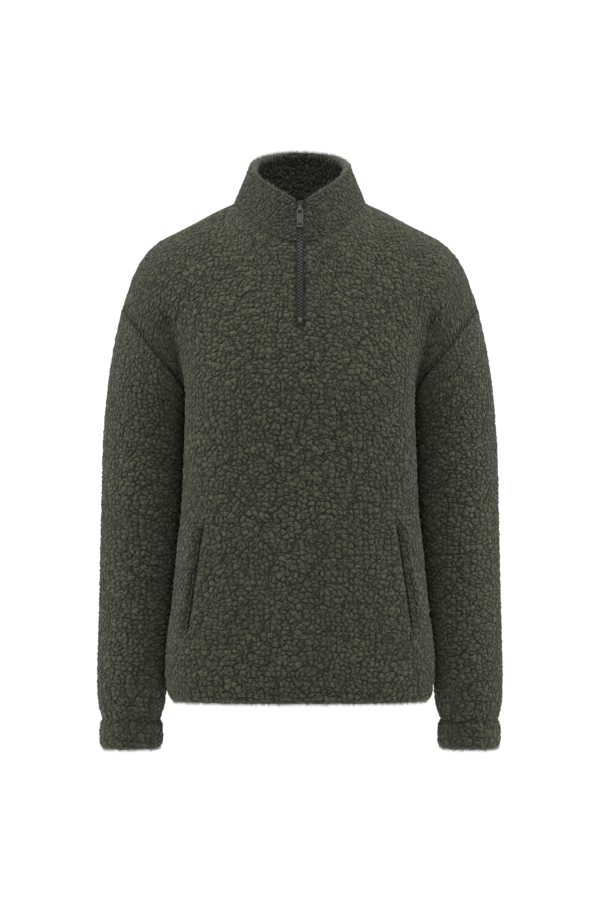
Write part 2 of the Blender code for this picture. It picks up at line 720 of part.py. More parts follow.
def rounded_outline(curve_data, width, height, middle_z, corner):
    """Adds a closed rectangle with round corners to a flat curve."""
    points = []
    for turn in range(4):
        angle = turn * math.pi / 2
        sign_x, sign_z = ((1, 1), (-1, 1), (-1, -1), (1, -1))[turn]
        centre_x = sign_x * (width / 2 - corner)
        centre_z = sign_z * (height / 2 - corner)
        for bend in np.linspace(angle, angle + math.pi / 2, BEND_STEPS + 1):
            points.append((centre_x + corner * math.cos(bend), centre_z + corner * math.sin(bend)))
    spline = curve_data.splines.new("POLY")
    spline.points.add(len(points) - 1)
    for point, (x, z) in zip(spline.points, points):
        point.co = (x * MM, (z + middle_z) * MM, 0.0, 1.0)
    spline.use_cyclic_u = True


def mesh_from(obj, group, material):
    """The object's evaluated shape as a mesh object of the same name, in the same place."""
    graph = bpy.context.evaluated_depsgraph_get()
    mesh = bpy.data.meshes.new_from_object(obj.evaluated_get(graph))
    build = bmesh.new()
    build.from_mesh(mesh)
    bmesh.ops.remove_doubles(build, verts=build.verts, dist=WELD)
    build.to_mesh(mesh)
    build.free()
    name = obj.name
    place, parent = obj.matrix_basis.copy(), obj.parent
    bpy.data.objects.remove(obj, do_unlink=True)
    made = add_object(name, mesh, material, group)
    made.parent = parent
    made.matrix_basis = place
    mesh.name = name
    return made


def make_slider(line, group):
    """The slider's body on the zip, with the bail that carries the pull tab."""
    frame = zip_frame(line, PIVOT_Z, 0.0, group)
    metal = plain_material("zip_slider", METAL, 0.35, 1.0)
    top = SLIDER_TOP - PIVOT_Z
    middle = (0.0, (SLIDER_BACK + SLIDER_FRONT) / 2, top - SLIDER_HEIGHT / 2)
    size = (SLIDER_TOP_WIDTH, SLIDER_BACK - SLIDER_FRONT, SLIDER_HEIGHT)
    body = bevelled_box("zip_slider", size, middle, metal, group, SLIDER_EDGE, SLIDER_FOOT_WIDTH)
    body.parent = frame
    bail = bpy.data.curves.new("bail", "CURVE")
    bail.dimensions = "3D"
    bail.bevel_depth = BAIL_WIRE * MM
    bail.bevel_resolution = 1
    bail.use_fill_caps = True
    spline = bail.splines.new("POLY")
    root = SLIDER_FRONT + BAIL_ROOT
    outline = [(root, BAIL_ABOVE)]
    turns = np.linspace(0.0, math.pi / 2, BEND_STEPS + 1)
    for past_sine, past_cosine in zip(BAIL_BEND * (1 - np.sin(turns)), BAIL_BEND * (1 - np.cos(turns))):
        outline.append((past_sine - BAIL_OUT, BAIL_ABOVE - past_cosine))
    for past_sine, past_cosine in zip(BAIL_BEND * (1 - np.sin(turns)), BAIL_BEND * (1 - np.cos(turns))):
        outline.append((past_cosine - BAIL_OUT, past_sine - BAIL_BELOW))
    outline.append((root, -BAIL_BELOW))
    spline.points.add(len(outline) - 1)
    for point, (y, z) in zip(spline.points, outline):
        point.co = (0.0, y * MM, z * MM, 1.0)
    wire = bpy.data.objects.new("bail", bail)
    group.objects.link(wire)
    wire = mesh_from(wire, group, metal)
    cutters = bpy.data.collections.new("helpers")
    bpy.context.scene.collection.children.link(cutters)
    group.objects.unlink(wire)
    cutters.objects.link(wire)
    wire.parent = frame
    wire.hide_render = True
    wire.display_type = "WIRE"
    join = body.modifiers.new("Bail", "BOOLEAN")
    join.operation = "UNION"
    join.object = wire
    return frame


def make_pull_tab(frame, group):
    """The pull tab, its origin on the axis that it swings about, lying down the zip at rest."""
    outline = bpy.data.curves.new("zip_pull", "CURVE")
    outline.dimensions = "2D"
    outline.fill_mode = "BOTH"
    outline.extrude = TAB_WALL / 2 * MM
    rounded_outline(outline, TAB_WIDTH, TAB_LENGTH, TAB_BAR - TAB_LENGTH / 2, TAB_CORNER)
    rounded_outline(outline, *TAB_SLOT, -TAB_BAR - TAB_SLOT[1] / 2, TAB_HOLE_CORNER)
    hole_z = TAB_BAR - TAB_LENGTH + TAB_HOLE_MARGIN + TAB_HOLE[1] / 2
    rounded_outline(outline, *TAB_HOLE, hole_z, TAB_HOLE_CORNER)
    tab = bpy.data.objects.new("zip_pull", outline)
    tab.rotation_euler = (math.pi / 2, 0.0, 0.0)
    tab.location = (0.0, -PIVOT_OUT * MM, 0.0)
    group.objects.link(tab)
    tab.parent = frame
    return mesh_from(tab, group, plain_material("zip_pull", METAL, 0.35, 1.0))


def make_stop(line, group):
    frame = zip_frame(line, STOP_TOP - STOP_HEIGHT / 2, 0.0, group)
    size = (STOP_WIDTH, STOP_WALL, STOP_HEIGHT)
    middle = (0.0, TAPE_DEPTH - SEAM_GAP - STOP_WALL / 2, 0.0)
    metal = plain_material("zip_bottom_stop", METAL, 0.35, 1.0)
    bevelled_box("zip_bottom_stop", size, middle, metal, group, STOP_EDGE).parent = frame


def make_pocket_facing(name, side, half, normal, group):
    """The strip of cloth that shows in a pocket's mouth, lying on the panel behind the lip."""
    rows = [row for row, point in enumerate(half[:, LIP_COLUMN]) if FACING_FOOT < point[2] < FACING_TOP]
    foot, far = LIP_COLUMN + 1, LIP_COLUMN + 2
    rings = []
    for row in rows:
        panel = half[row, foot : far + 1]
        lift = normal[row, foot : far + 1]
        shares = FACING["share"][:, None]
        base = panel[0] + (panel[1] - panel[0]) * shares
        out = lift[0] + (lift[1] - lift[0]) * shares
        low = base + FACING_LIFT * out
        high = low + FACING["wall"][:, None] * out
        rings.append(np.concatenate([low, high[::-1]]))
    rings = np.array(rings) * np.array([side, 1.0, 1.0])
    loft(name, rings, plain_material(name, FLEECE_SHADE), group)


def main():
    clear_scene()
    group = bpy.data.collections.new("sherpa_sweatshirt")
    bpy.context.scene.collection.children.link(group)
    half = half_panel(-1.0, SLIT_HALF, FRONT_SHARES, FRONT_ROWS, UPPER_STEPS)
    front = half, seam_normals(half, -1.0, len(FRONT_ROWS))
    half = half_panel(1.0, 0.0, BACK_SHARES, BACK_ROWS, UPPER_STEPS)
    back = half, seam_normals(half, 1.0, len(BACK_ROWS))
    share_neck_point(front, back)
    make_front(*front, group)
    make_back(*back, group)
    for name, side in (("left", -1.0), ("right", 1.0)):
        gap = SEAM_GAP * armhole_normal()
        make_tube("sleeve_" + name, SLEEVE, side, gap, group)
        make_tube("cuff_" + name, CUFF, side, 0.0, group)
        make_pocket_facing("pocket_facing_" + name, side, *front, group)
    collar_edge = make_collar(front, back, group)
    line = front_line(front, collar_edge)
    make_tape("zip_tape_left", -1.0, line, group)
    make_tape("zip_tape_right", 1.0, line, group)
    frame = make_slider(line, group)
    make_pull_tab(frame, group)
    make_stop(line, group)


main()
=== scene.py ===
"""Looks of a sherpa sweatshirt with a stand collar and a short zip, filled out and empty inside.

Sizes in the tables are in millimetres and become metres when a mesh is made. The front faces -Y, +X
is the viewer's right, and the origin is the middle of the neck. A place across a panel is its share
u, 0 at the centre line and 1 at the side seam or armhole.
"""

import math

import bmesh
import bpy
import numpy as np
from mathutils import Euler, Matrix, Vector


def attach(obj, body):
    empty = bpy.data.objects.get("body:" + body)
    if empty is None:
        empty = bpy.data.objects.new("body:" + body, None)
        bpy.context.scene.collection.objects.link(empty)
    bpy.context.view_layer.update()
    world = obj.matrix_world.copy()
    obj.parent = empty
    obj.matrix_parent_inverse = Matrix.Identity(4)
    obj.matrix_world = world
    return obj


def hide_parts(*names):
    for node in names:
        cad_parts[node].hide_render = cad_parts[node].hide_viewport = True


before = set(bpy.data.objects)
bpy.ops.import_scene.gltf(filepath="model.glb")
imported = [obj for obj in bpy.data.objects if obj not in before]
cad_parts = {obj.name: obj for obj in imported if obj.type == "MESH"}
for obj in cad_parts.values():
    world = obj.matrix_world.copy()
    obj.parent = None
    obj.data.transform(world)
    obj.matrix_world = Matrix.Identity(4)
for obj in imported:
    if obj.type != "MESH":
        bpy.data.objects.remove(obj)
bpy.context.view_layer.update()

bl_info = {
    "name": "Sherpa Sweatshirt",
    "version": (1, 0, 0),
    "blender": (4, 5, 0),
    "location": "View3D > Sidebar > Sherpa",
    "description": "Makes the pile, the zip and the studio of a sherpa sweatshirt",
    "category": "Object",
}

MM = 0.001

# The cloth's walls and gaps, and how its panels are laid out and evened.
WALL = 4.0
COLLAR_WALL = 8.0
SEAM_GAP = 0.35
COLLAR_GAP = 0.5
SEAM_Y = 6.0
SLIT_HALF = 4.8
SLIT_BOTTOM_STEP = 5
UPPER_STEPS = 12
UPPER_EASINGS = 10
OVAL_HANDLE = 4.0 / 3.0
EASE_EDGE = 0.09
EASE_FADE = 0.4
FULLNESS = 2.6
CORNER_FRONT = 58.0
CORNER_BACK = 62.0
SIDE_HOLD = 1.8
SECTION_POINTS = 90
SIDE_POINTS = 30
RIDGE_POINTS = 80
IN_PLANE_FROM = {-1.0: 0.2, 1.0: 0.1}
IN_PLANE_EASE = 0.2

# The neck and the collar.
NECK_SHARE = 0.42
NECK_HALF_WIDTH = 92.0
NECK_FRONT = (-101.0, -62.0)
NECK_BACK = (72.0, 12.0)
RIM_HALF_WIDTH = 67.5
RIM_FRONT_Y = -84.0
RIM_BACK_Y = 66.0
RIM_HALF_WALL = 4.0
RIM_DROP = 5.0
RIM_Z = (-3.6, 77.8)
RIM_RISE = 1.15
NECK_EASINGS = 5
NECK_ANGLE_STEP = 0.01
COLLAR_STEPS = 5

# The cloth's inner side has a point every COARSE_STEP, and its outer side FINE times as many.
COARSE_STEP = 8.4
FINE = 4

# From this share of a panel's upper part its columns turn a corner at the neck point.
NECK_CORNER_FROM = 0.72

# How a seam draws the cloth in: depth, and how far to each side.
COLLAR_SEAM = (0.3, 2.2)
SHOULDER_SEAM = (0.9, 3.0)
ARMHOLE_SEAM = (2.2, 2.2)
SIDE_SEAM = (1.5, 3.5)
SLIT_EDGE = (1.6, 3.0)
COLLAR_END = (0.96, 3.0)
CUFF_SEAM = (0.6, 2.4)
PILE_EDGE = 2.0

# The sewn line beside the armhole: its distance from the edge, spread, depth, and how much painted shade
# darkens it.
STITCH_LINE = 5.2
STITCH_SPREAD = 1.3
STITCH_DEPTH = 0.8
STITCH_SHADE = 0.5

# Painted shade at seams, edges and pocket lips: how much it darkens the cloth, and how far to each side.
SEAM_SHADE = (0.85, 2.2)
SOFT_SEAM_SHADE = (0.15, 2.0)
LIP_SHADE = (0.2, 1.8)
LIP_SHADE_PAST = 1.4

# The fuzz at the raw edges: how far along the cloth it is thickest, its reach, how far it lifts the
# cloth above it to make room and over what length, and how far its fibres turn down.
HEM_RUN = 10.0
CUFF_RUN = 6.0
HEM_REACH = 4.5
FUZZ_LIFT = 2.2
LIFT_REACH = 10.0
FRINGE_DROP = 2.2

# The pieces with fuzz: the seed of their fibres, and how far the fibres turn down.
FIBRES = {
    "front": (11, FRINGE_DROP),
    "back": (12, FRINGE_DROP),
    "cuff_left": (21, FRINGE_DROP),
    "cuff_right": (22, FRINGE_DROP),
    "collar": (31, 0.0),
}

# The collar's rim: its spread, its lower pile with a painted highlight along it, and its fuzz, which is thin
# in front. The lining swells out below it and is darkened with painted shade.
RIM_SPREAD = 4.5
RIM_PRESS = 0.15
RIM_HIGHLIGHT = 0.2
RIM_FUZZ_FRONT = 0.2
RIM_FUZZ_FROM = -40.0
RIM_FUZZ_FADE = 60.0
SWELL = 3.0
SWELL_RUN = 6.0
SWELL_SPREAD = 8.0
SWELL_FADE = 25.0
LINING_SHADE = 0.35

# The pile's lumps, in lump sizes: waves that bend their pattern, their shoulders, the long slanted
# grooves between groups of them, and how far neighbours grow together.
SLOW_WAVES = (0.085, 2.3)
QUICK_WAVES = (0.8, 0.7)
FINE_WAVES = (2.1, 0.36)
LUMP_RANDOMNESS = 0.82
LUMP_SHOULDER = 0.44
LUMP_LEVEL = 0.86
LUMP_ROUGHNESS = 3.1
LONG_GROOVE_SLANT = 0.55
LONG_GROOVE_SCALE = (0.21, 0.42, 1.0)
LONG_GROOVE_WIDTH = 4.6
LONG_GROOVE_VALLEY = 0.5
MERGE_SCALE = 0.85
MERGE_FROM = 0.44
MERGE_AMOUNT = 0.36
LUMP_SIZE = 0.0077
LUMP_DEPTH = 0.0022
LUMP_UNEVENNESS = 0.0008
BODY_STRETCH = (1.0, 1.12, 1.0)
SLEEVE_STRETCH = (0.92, 1.22, 1.0)
COLLAR_STRETCH = (1.35, 1.1, 1.0)

# Where each piece's cloth lies in the pattern, in metres.
PATTERN_START = {
    "front": (0.0, 0.0),
    "back": (1.3, 0.4),
    "left": (2.1, 0.7),
    "right": (3.4, 0.2),
    "collar": (4.6, 0.9),
    "facing": (5.5, 5.5),
}

# Tones of the pile: the painted shade in its grooves and their width, the painted light and shade that make
# the tops of its lumps lighter and their sides darker, and how much each lump, large patches and the fuzz
# change its colour. The fuzz is a noise: scale, detail and roughness.
GROOVE_SHADE = 0.76
GROOVE_WIDTH = 0.17
HEIGHT_SHADING = (0.98, 0.64)
LUMP_TONE = 0.34
PATCH_TONE = 0.25
PATCH_SCALE = 0.14
FUZZ_TONE = 1.5
FUZZ_NOISE = (3.4, 1.5, 0.6)
FUZZ_BUMP = 0.9
PILE_BUMP = 0.0021

# Loose fibres: sizes in metres, their lean, their shares of the full size, and their tufts.
FIBRE_COUNT = 1900000.0
FIBRE_LENGTH = 0.0056
FIBRE_RADIUS = 0.00011
FIBRE_LEAN = 0.7
FIBRE_SIZES = (0.25, 1.15)
TUFT_SCALE = 260.0
TUFT_STRENGTH = 5.0

# Colours, as shares of the light, and the shares of the pile's colour that the collar and the pocket strips
# keep, which are painted shade.
PILE_COLOUR = (0.0235, 0.0264, 0.0155)
KNIT_COLOUR = (0.026, 0.031, 0.020)
TAPE_COLOUR = (0.0135, 0.0142, 0.0102)
# The fibres are lighter than the pile: painted light, for the white light that shines through them.
FIBRE_COLOUR = (0.12, 0.126, 0.1)
TAB_METAL = (0.058, 0.058, 0.053)
BRIGHT_METAL = ((0.10, 0.10, 0.093), (0.04, 0.04, 0.036))
# The slider's metal is darker than the rest: painted shade, for the shade the slider stands in.
SLIDER_SHADE_METAL = ((0.03, 0.03, 0.027), (0.015, 0.015, 0.013))
DULLED_SHARE = 0.6
COLLAR_SHADE = 0.8
POCKET_SHADE = 0.85

# The shader values that are the same all over a material.
PILE_SURFACE = {
    "Roughness": 0.95,
    "Sheen Weight": 0.1,
    "Sheen Roughness": 0.4,
    "Sheen Tint": (0.75, 0.8, 0.65, 1.0),
    "Specular IOR Level": 0.15,
}
KNIT_SURFACE = {"Roughness": 0.95}
TAPE_SURFACE = {"Roughness": 0.85, "Specular IOR Level": 0.25}
FIBRE_SURFACE = {"Roughness": 1.0, "Sheen Weight": 0.3}
METAL_SURFACE = {"Roughness": 0.4, "Metallic": 1.0}
FLOOR_SURFACE = {"Roughness": 0.9}

# The knit's rows and loops, the tape's ribs, the fibres' clouds and the wear of the metal. The knit and the
# tape keep a share of their colour in their low places as painted shade, FIBRE_DARK is the share in the
# fibres' darkest clouds, and each BUMP a strength and a depth in metres.
KNIT_ROWS = {"Scale": 110.0, "Distortion": 1.5, "Detail": 1.0, "Detail Scale": 3.0}
KNIT_LOOPS = {"Scale": 150.0, "Distortion": 0.8}
KNIT_HOLLOW_SHADE = 0.6
KNIT_BUMP = (0.8, 0.0004)
TAPE_TURN = (0.0, 0.6, 0.0)
TAPE_ACROSS = {"Scale": 420.0}
TAPE_DOWN = {"Scale": 360.0}
TAPE_HOLLOW_SHADE = 0.55
TAPE_BUMP = (0.7, 0.0003)
FIBRE_CLOUDS = 160.0
FIBRE_DARK = 0.5
CLOUD_SIZE = 0.002
CLOUD_NOISE = (0.8, 3.0)
WEAR_NOISE = (9.0, 2.0)
WORN_ROUGHNESS = (0.38, 0.3)
WORN_BUMP = (0.25, 0.0001)

# The studio, in metres: its floor, its lights with their settings' names, and its camera.
FLOOR_RADIUS = 12.0
FLOOR_SIDES = 96
FLOOR_COLOUR = (0.95, 0.95, 0.95)
LIGHTS = (
    ("top_light", "key_power", 1.6, (0.0, -0.9, 1.9)),
    ("left_light", "side_power", 1.2, (-2.2, -0.4, 0.2)),
    ("right_light", "side_power", 1.2, (2.2, -0.4, 0.2)),
    ("back_light", "back_power", 1.6, (0.0, 2.6, 0.9)),
)
LIGHTS_AIM = (0.0, 0.0, -0.3)
CAMERA_PLACE = (0.0, -4.0, -0.3409)
CAMERA_LENS = 115.9
CAMERA_SENSOR = 36.0

# Values kept at a piece's points and faces while it is made.
MARKS = ("through", "place", "pile", "fringe", "inner")

# The viewer's left and right as signs of X, and what mirrors a place from one to the other.
SIDES = {"left": -1.0, "right": 1.0}
MIRROR = np.array([-1.0, 1.0, 1.0])

# Directions, which are also the normals of the middle plane, the seams' plane and level planes.
ACROSS = (1.0, 0.0, 0.0)
TO_BACK = (0.0, 1.0, 0.0)
UP = (0.0, 0.0, 1.0)


def table(columns, *rows):
    """A table's columns by name, each an array with one value for each row."""
    return dict(zip(columns.split(), np.array(rows, float).T))


# Sections of the body from the turned-under hem up to the underarm: depths in front of and behind
# the middle, half width at the rounded corners and half width at the side seam.
BODY = table(
    "z front back corner side",
    (-681.0, 113.0, 97.0, 161.0, 156.0),
    (-684.0, 120.0, 104.5, 168.0, 163.0),
    (-680.5, 127.5, 112.0, 175.5, 168.5),
    (-668.0, 132.5, 118.5, 181.0, 173.0),
    (-647.0, 134.8, 121.0, 183.3, 174.5),
    (-617.0, 135.3, 120.5, 183.0, 172.5),
    (-592.0, 135.2, 119.0, 180.5, 169.0),
    (-568.0, 134.7, 117.5, 177.0, 165.0),
    (-528.0, 133.4, 114.5, 172.5, 159.5),
    (-476.0, 131.5, 111.5, 167.5, 154.0),
    (-435.0, 130.3, 110.5, 163.0, 150.5),
    (-390.0, 130.0, 111.0, 160.0, 148.0),
    (-335.0, 130.3, 114.0, 158.0, 146.3),
    (-275.0, 131.5, 119.5, 156.5, 145.0),
)
FRONT_ROWS = (0, 1, 2, 3, 4, 5, 5.5, 6, 6.5, 7, 7.5, 8, 8.5, 9, 9.5, 10, 10.5, 11, 12, 13)
BACK_ROWS = (0, 1, 2, 3, 4, 5, 6, 7, 8, 9, 10, 11, 12, 13)

# The shoulder seam from the neck to the tip of the dropped shoulder, seen from the front.
SHOULDER = table(
    "x z",
    (92.0, 0.0),
    (104.0, -5.5),
    (123.0, -14.0),
    (145.0, -26.5),
    (171.5, -40.0),
    (192.5, -51.0),
    (210.0, -66.0),
    (226.5, -90.0),
    (233.5, -108.0),
    (239.5, -125.0),
    (246.5, -144.0),
)

# How a lengthwise line of a panel leaves the underarm level and how it comes in at the top.
HANDLES = table(
    "u start_out start_up end_out_front end_out_back end_up end_aside",
    (0.00, 0.0, 82.0, 14.0, 16.0, -46.0, 0.0),
    (0.20, 0.0, 82.0, 22.0, 26.0, -42.0, 7.0),
    (0.35, 0.0, 83.0, 44.0, 42.0, -32.0, 24.0),
    (0.42, 0.0, 84.0, 66.0, 58.0, -30.0, 24.0),
    (0.49, 2.0, 85.0, 76.0, 71.0, -17.0, 10.0),
    (0.56, 5.0, 84.0, 81.0, 79.0, -8.0, 2.0),
    (0.70, 22.0, 68.0, 87.0, 86.0, 0.0, 0.0),
    (0.80, 42.0, 45.0, 91.0, 91.0, 0.0, 0.0),
    (0.88, 62.0, 26.0, 94.0, 94.0, 0.0, 0.0),
    (0.95, 83.0, 9.0, 97.0, 97.0, 0.0, 0.0),
    (1.00, 98.7, 0.0, 98.7, 98.7, 0.0, 0.0),
)

# The crease from the shoulder's tip to the armpit, on both sides and both panels.
CREASES = table(
    "x1 z1 x2 z2 half_width depth fade_in fade_out",
    (178.0, -140.0, 163.0, -268.0, 13.0, 9.0, 0.3, 0.25),
)

# Soft troughs and ridges of the cloth: the side that they lie on, -1 in front and 1 behind, their
# ends seen from the front, half width, and depth, which is below 0 for a ridge.
FOLDS = table(
    "side x1 z1 x2 z2 half_width depth",
    (-1, -150, -262, -96, -352, 11, 1.6),
    (-1, 151, -268, 104, -336, 12, 1.4),
    (-1, -128, -300, -84, -420, 15, -1.0),
    (-1, 126, -318, 92, -402, 13, -0.8),
    (-1, -60, -212, 22, -236, 16, 0.7),
    (-1, 36, -300, 118, -352, 18, 0.8),
    (-1, -108, -598, -52, -646, 12, 1.1),
    (-1, 112, -604, 66, -652, 11, 1.3),
    (-1, -20, -560, 62, -604, 17, 0.8),
    (-1, -84, -486, -20, -540, 16, 0.8),
    (1, -150, -264, -92, -340, 12, 1.8),
    (1, 149, -270, 88, -362, 13, 1.6),
    (1, -122, -306, -70, -430, 15, -1.0),
    (1, 120, -300, 78, -410, 16, -1.1),
    (1, -82, -150, 70, -158, 18, 0.8),
    (1, -60, -560, 44, -606, 16, 1.0),
    (1, 30, -470, 110, -520, 17, 0.9),
    (1, -124, -590, -80, -650, 12, 1.2),
    (-1, -264, -330, -192, -364, 11, 1.7),
    (-1, -270, -372, -200, -392, 10, 1.3),
    (-1, -266, -420, -206, -462, 12, 1.5),
    (-1, -272, -524, -206, -548, 11, 1.2),
    (-1, -262, -596, -212, -634, 11, 1.4),
    (-1, 262, -318, 186, -352, 12, 1.6),
    (-1, 270, -384, 204, -412, 11, 1.5),
    (-1, 264, -440, 214, -486, 12, 1.2),
    (-1, 272, -552, 208, -574, 11, 1.4),
    (-1, 266, -622, 214, -652, 10, 1.3),
    (1, -260, -346, -188, -372, 12, 1.6),
    (1, -268, -408, -204, -446, 11, 1.5),
    (1, -270, -508, -208, -536, 12, 1.3),
    (1, -262, -610, -212, -640, 11, 1.4),
    (1, 264, -336, 190, -362, 12, 1.7),
    (1, 270, -402, 202, -430, 11, 1.3),
    (1, 266, -486, 206, -526, 12, 1.4),
    (1, 262, -600, 212, -628, 10, 1.3),
)
FOLD_ENDS = 0.35
FOLD_FACING = 0.5
HEM_FOLD = (0.9, 4.0)
HEM_FOLD_Z = -664.0

# The slanted pocket mouths: the lip's line, the step behind it and the lip's soft rise.
POCKET = {"x1": 127.0, "z1": -436.0, "x2": 149.0, "z2": -590.0}
POCKET_STEP = 2.6
POCKET_DEPTH = 7.5
POCKET_WIDTH = 17.0
POCKET_END = 0.12
POCKET_HOLD = 70.0
LIP_RISE = 1.5
LIP_MIDDLE = -4.0
LIP_SPREAD = 7.0
LIP_END = 0.5
LIP_COLUMN = 7

# The strip in a pocket mouth: how far past the lip it reaches with its wall, thinner at its ends.
FACING = table("past wall", (2.6, 2.2), (6.0, 2.2), (9.5, 1.8), (13.0, 0.8))
FACING_LIFT = 0.8
FACING_TOP = -440.0
FACING_FOOT = -588.0
FACING_END = 6.0
FACING_END_WALL = 0.35
FACING_RELIEF = 0.75
# FACING_SHADE is the painted shade on the strip in the pocket's mouth.
FACING_SHADE = 0.8

# Where the lengthwise lines of the panels stand, from the centre line to the side.
FRONT_SHARES = (0.0, 0.09, 0.18, 0.27, 0.36, 0.42, 0.49, 0.56, 0.585, 0.66, 0.73, 0.80, 0.87, 0.94, 1.0)
BACK_SHARES = (0.0, 0.1, 0.2, 0.28, 0.34, 0.38, 0.42, 0.49, 0.56, 0.64, 0.72, 0.80, 0.87, 0.94, 1.0)

# Rings of a sleeve from the armhole to the cuff: its outer and inner edges seen from the front, the
# middle of its depth, and how far it reaches to the front and to the back of that.
SLEEVE = table(
    "outer_x outer_z inner_x inner_z y front back",
    (246.5, -144.0, 145.0, -275.0, 6.0, 74.0, 74.0),
    (248.5, -157.0, 147.5, -281.0, 6.5, 73.5, 74.0),
    (252.5, -173.0, 149.5, -288.0, 7.0, 72.5, 73.5),
    (258.5, -202.0, 151.0, -299.0, 8.5, 70.5, 72.0),
    (264.0, -234.0, 151.8, -313.0, 10.0, 68.5, 70.0),
    (268.6, -273.0, 152.6, -330.0, 11.5, 66.5, 68.0),
    (272.8, -325.0, 154.0, -355.0, 12.0, 65.0, 66.0),
    (274.8, -390.0, 156.5, -402.0, 11.0, 63.5, 64.0),
    (276.0, -450.0, 160.0, -454.0, 8.5, 61.5, 62.0),
    (277.0, -510.0, 165.5, -512.0, 4.0, 58.5, 59.0),
    (278.0, -570.0, 171.5, -571.0, -4.0, 55.5, 56.0),
    (278.8, -622.0, 177.0, -622.0, -12.0, 53.0, 53.0),
    (279.0, -655.0, 181.0, -655.0, -18.0, 51.0, 51.0),
    (278.2, -675.0, 183.2, -675.0, -22.0, 49.5, 49.5),
    (276.8, -691.0, 185.0, -691.0, -25.0, 47.5, 47.5),
    (275.0, -701.0, 187.2, -701.0, -26.5, 45.5, 45.5),
    (273.0, -709.4, 190.0, -709.4, -27.0, 43.0, 43.0),
)
CUFF = table(
    "outer_x outer_z inner_x inner_z y front back",
    (273.0, -709.8, 190.0, -709.8, -27.0, 43.0, 43.0),
    (275.0, -713.5, 187.9, -713.5, -27.0, 45.0, 45.0),
    (275.8, -722.0, 187.0, -722.0, -27.5, 45.8, 45.8),
    (275.6, -733.0, 186.9, -733.0, -27.5, 45.8, 45.8),
    (274.6, -742.5, 188.0, -742.5, -28.0, 45.0, 45.0),
    (271.8, -748.8, 191.4, -748.8, -28.0, 42.2, 42.2),
    (267.5, -751.0, 195.8, -751.0, -28.0, 38.0, 38.0),
    (263.5, -749.6, 199.6, -749.6, -28.0, 34.2, 34.2),
)

# Gathers beside a cuff's seam: waves round the sleeve, with a turn of their own on each side.
GATHERS = table("waves depth turn", (11, 0.55, 0.7), (17, 0.4, 2.1), (7, 0.35, 4.4))
GATHER_REACH = 16.0

# The zip, measured along the centre line: heights are where they lie on the front. Its teeth are in
# metres.
STOP_TOP = -164.5
SLIDER_TOP = -4.5
SLIDER_HEIGHT = 14.5
SLIDER_TOP_WIDTH = 8.4
SLIDER_FOOT_WIDTH = 6.6
SLIDER_BACK = 1.3
SLIDER_FRONT = -1.5
SLIDER_PLATE = 1.1
SLIDER_WAIST = 3.4
SLIDER_CORNER = 1.6
SLIDER_EDGE = 0.35
WAIST_SHORTER = 2.0
WAIST_CORNER = 0.8
WAIST_EDGE = 0.1
RIDGE_SHORTER = 4.0
RIDGE_CORNER = 1.2
RIDGE_WALL = 0.7
RIDGE_EDGE = 0.3
PIVOT_Z = -16.7
PIVOT_OUT = 2.7
FRAME_REACH = 3.0
BAIL_WIRE = 0.62
BAIL_BEND = 1.2
BAIL_ROOT = 0.8
BAIL_OUT = 4.5
BAIL_ABOVE = 5.6
BAIL_BELOW = 2.1
TAB_WIDTH = 9.0
TAB_LENGTH = 26.0
TAB_WALL = 1.3
TAB_PLATE = 0.9
TAB_BORDER = 0.95
TAB_BAR = 0.7
TAB_CORNER = 1.5
TAB_SLOT = (4.2, 5.6)
TAB_HOLE = (4.8, 3.2)
TAB_HOLE_CORNER = 1.0
TAB_HOLE_MARGIN = 2.0
TAB_EDGE = 0.22
TAB_TOOTH = (1.3, 1.1)
TAB_TOOTH_CORNER = 0.3
BEND_STEPS = 6
PLATE_BEVEL_STEPS = 1
WIRE_BEVEL_STEPS = 3
CHAIN_TOP = -20.0
CHAIN_DEPTH = 1.3
CHAIN_POINTS = 60
TOOTH_PITCH = 0.0046
TOOTH_ARM = (0.0021, 0.0012, 0.0013)
TOOTH_HEAD = 0.0007
TOOTH_SIDES = 8
TOOTH_REACH = 0.0025
WELD = 0.00001
SHARP_ANGLE = math.radians(16)


def smooth_step(share):
    share = np.clip(share, 0.0, 1.0)
    return share * share * (3.0 - 2.0 * share)


def bell(distance, reach):
    return np.exp(-((distance / reach) ** 2))


def run_lengths(grid, axis):
    """Lengths along a path or a grid's lines, 0 at their first points."""
    steps = np.linalg.norm(np.diff(grid, axis=axis), axis=-1)
    start = np.zeros_like(np.take(steps, [0], axis=axis))
    return np.concatenate([start, np.cumsum(steps, axis=axis)], axis=axis)


def hermite(start, leave, end, arrive, t):
    """Points of a smooth curve from start to end, with its slopes at both."""
    return (
        (1 + 2 * t) * (1 - t) ** 2 * start
        + t * (1 - t) ** 2 * leave
        + t * t * (3 - 2 * t) * end
        - t * t * (1 - t) * arrive
    )


def smooth_rows(rows, at):
    """The table's values at a place between its rows, on a smooth curve through them."""
    points = np.stack(list(rows.values()), axis=1)
    knots = run_lengths(points, 0)
    place = np.interp(at, np.arange(len(points)), knots)
    slopes = np.gradient(points, knots, axis=0)
    low = np.clip(np.searchsorted(knots, place, side="right") - 1, 0, len(points) - 2)
    span = (knots[low + 1] - knots[low])[..., None]
    t = (place - knots[low])[..., None] / span
    found = hermite(points[low], span * slopes[low], points[low + 1], span * slopes[low + 1], t)
    return dict(zip(rows, np.moveaxis(found, -1, 0)))


def along(points, shares):
    """Points at shares of the length of a path."""
    lengths = run_lengths(points, 0)
    place = np.asarray(shares) * lengths[-1]
    return np.stack([np.interp(place, lengths, points[:, axis]) for axis in range(3)], axis=-1)


def curve(start, start_handle, end_handle, end, t):
    """Points of a Bezier curve, its handles given from its ends."""
    t = np.asarray(t)[..., None]
    return (
        (1 - t) ** 3 * start
        + 3 * (1 - t) ** 2 * t * (start + start_handle)
        + 3 * (1 - t) * t * t * (end + end_handle)
        + t**3 * end
    )


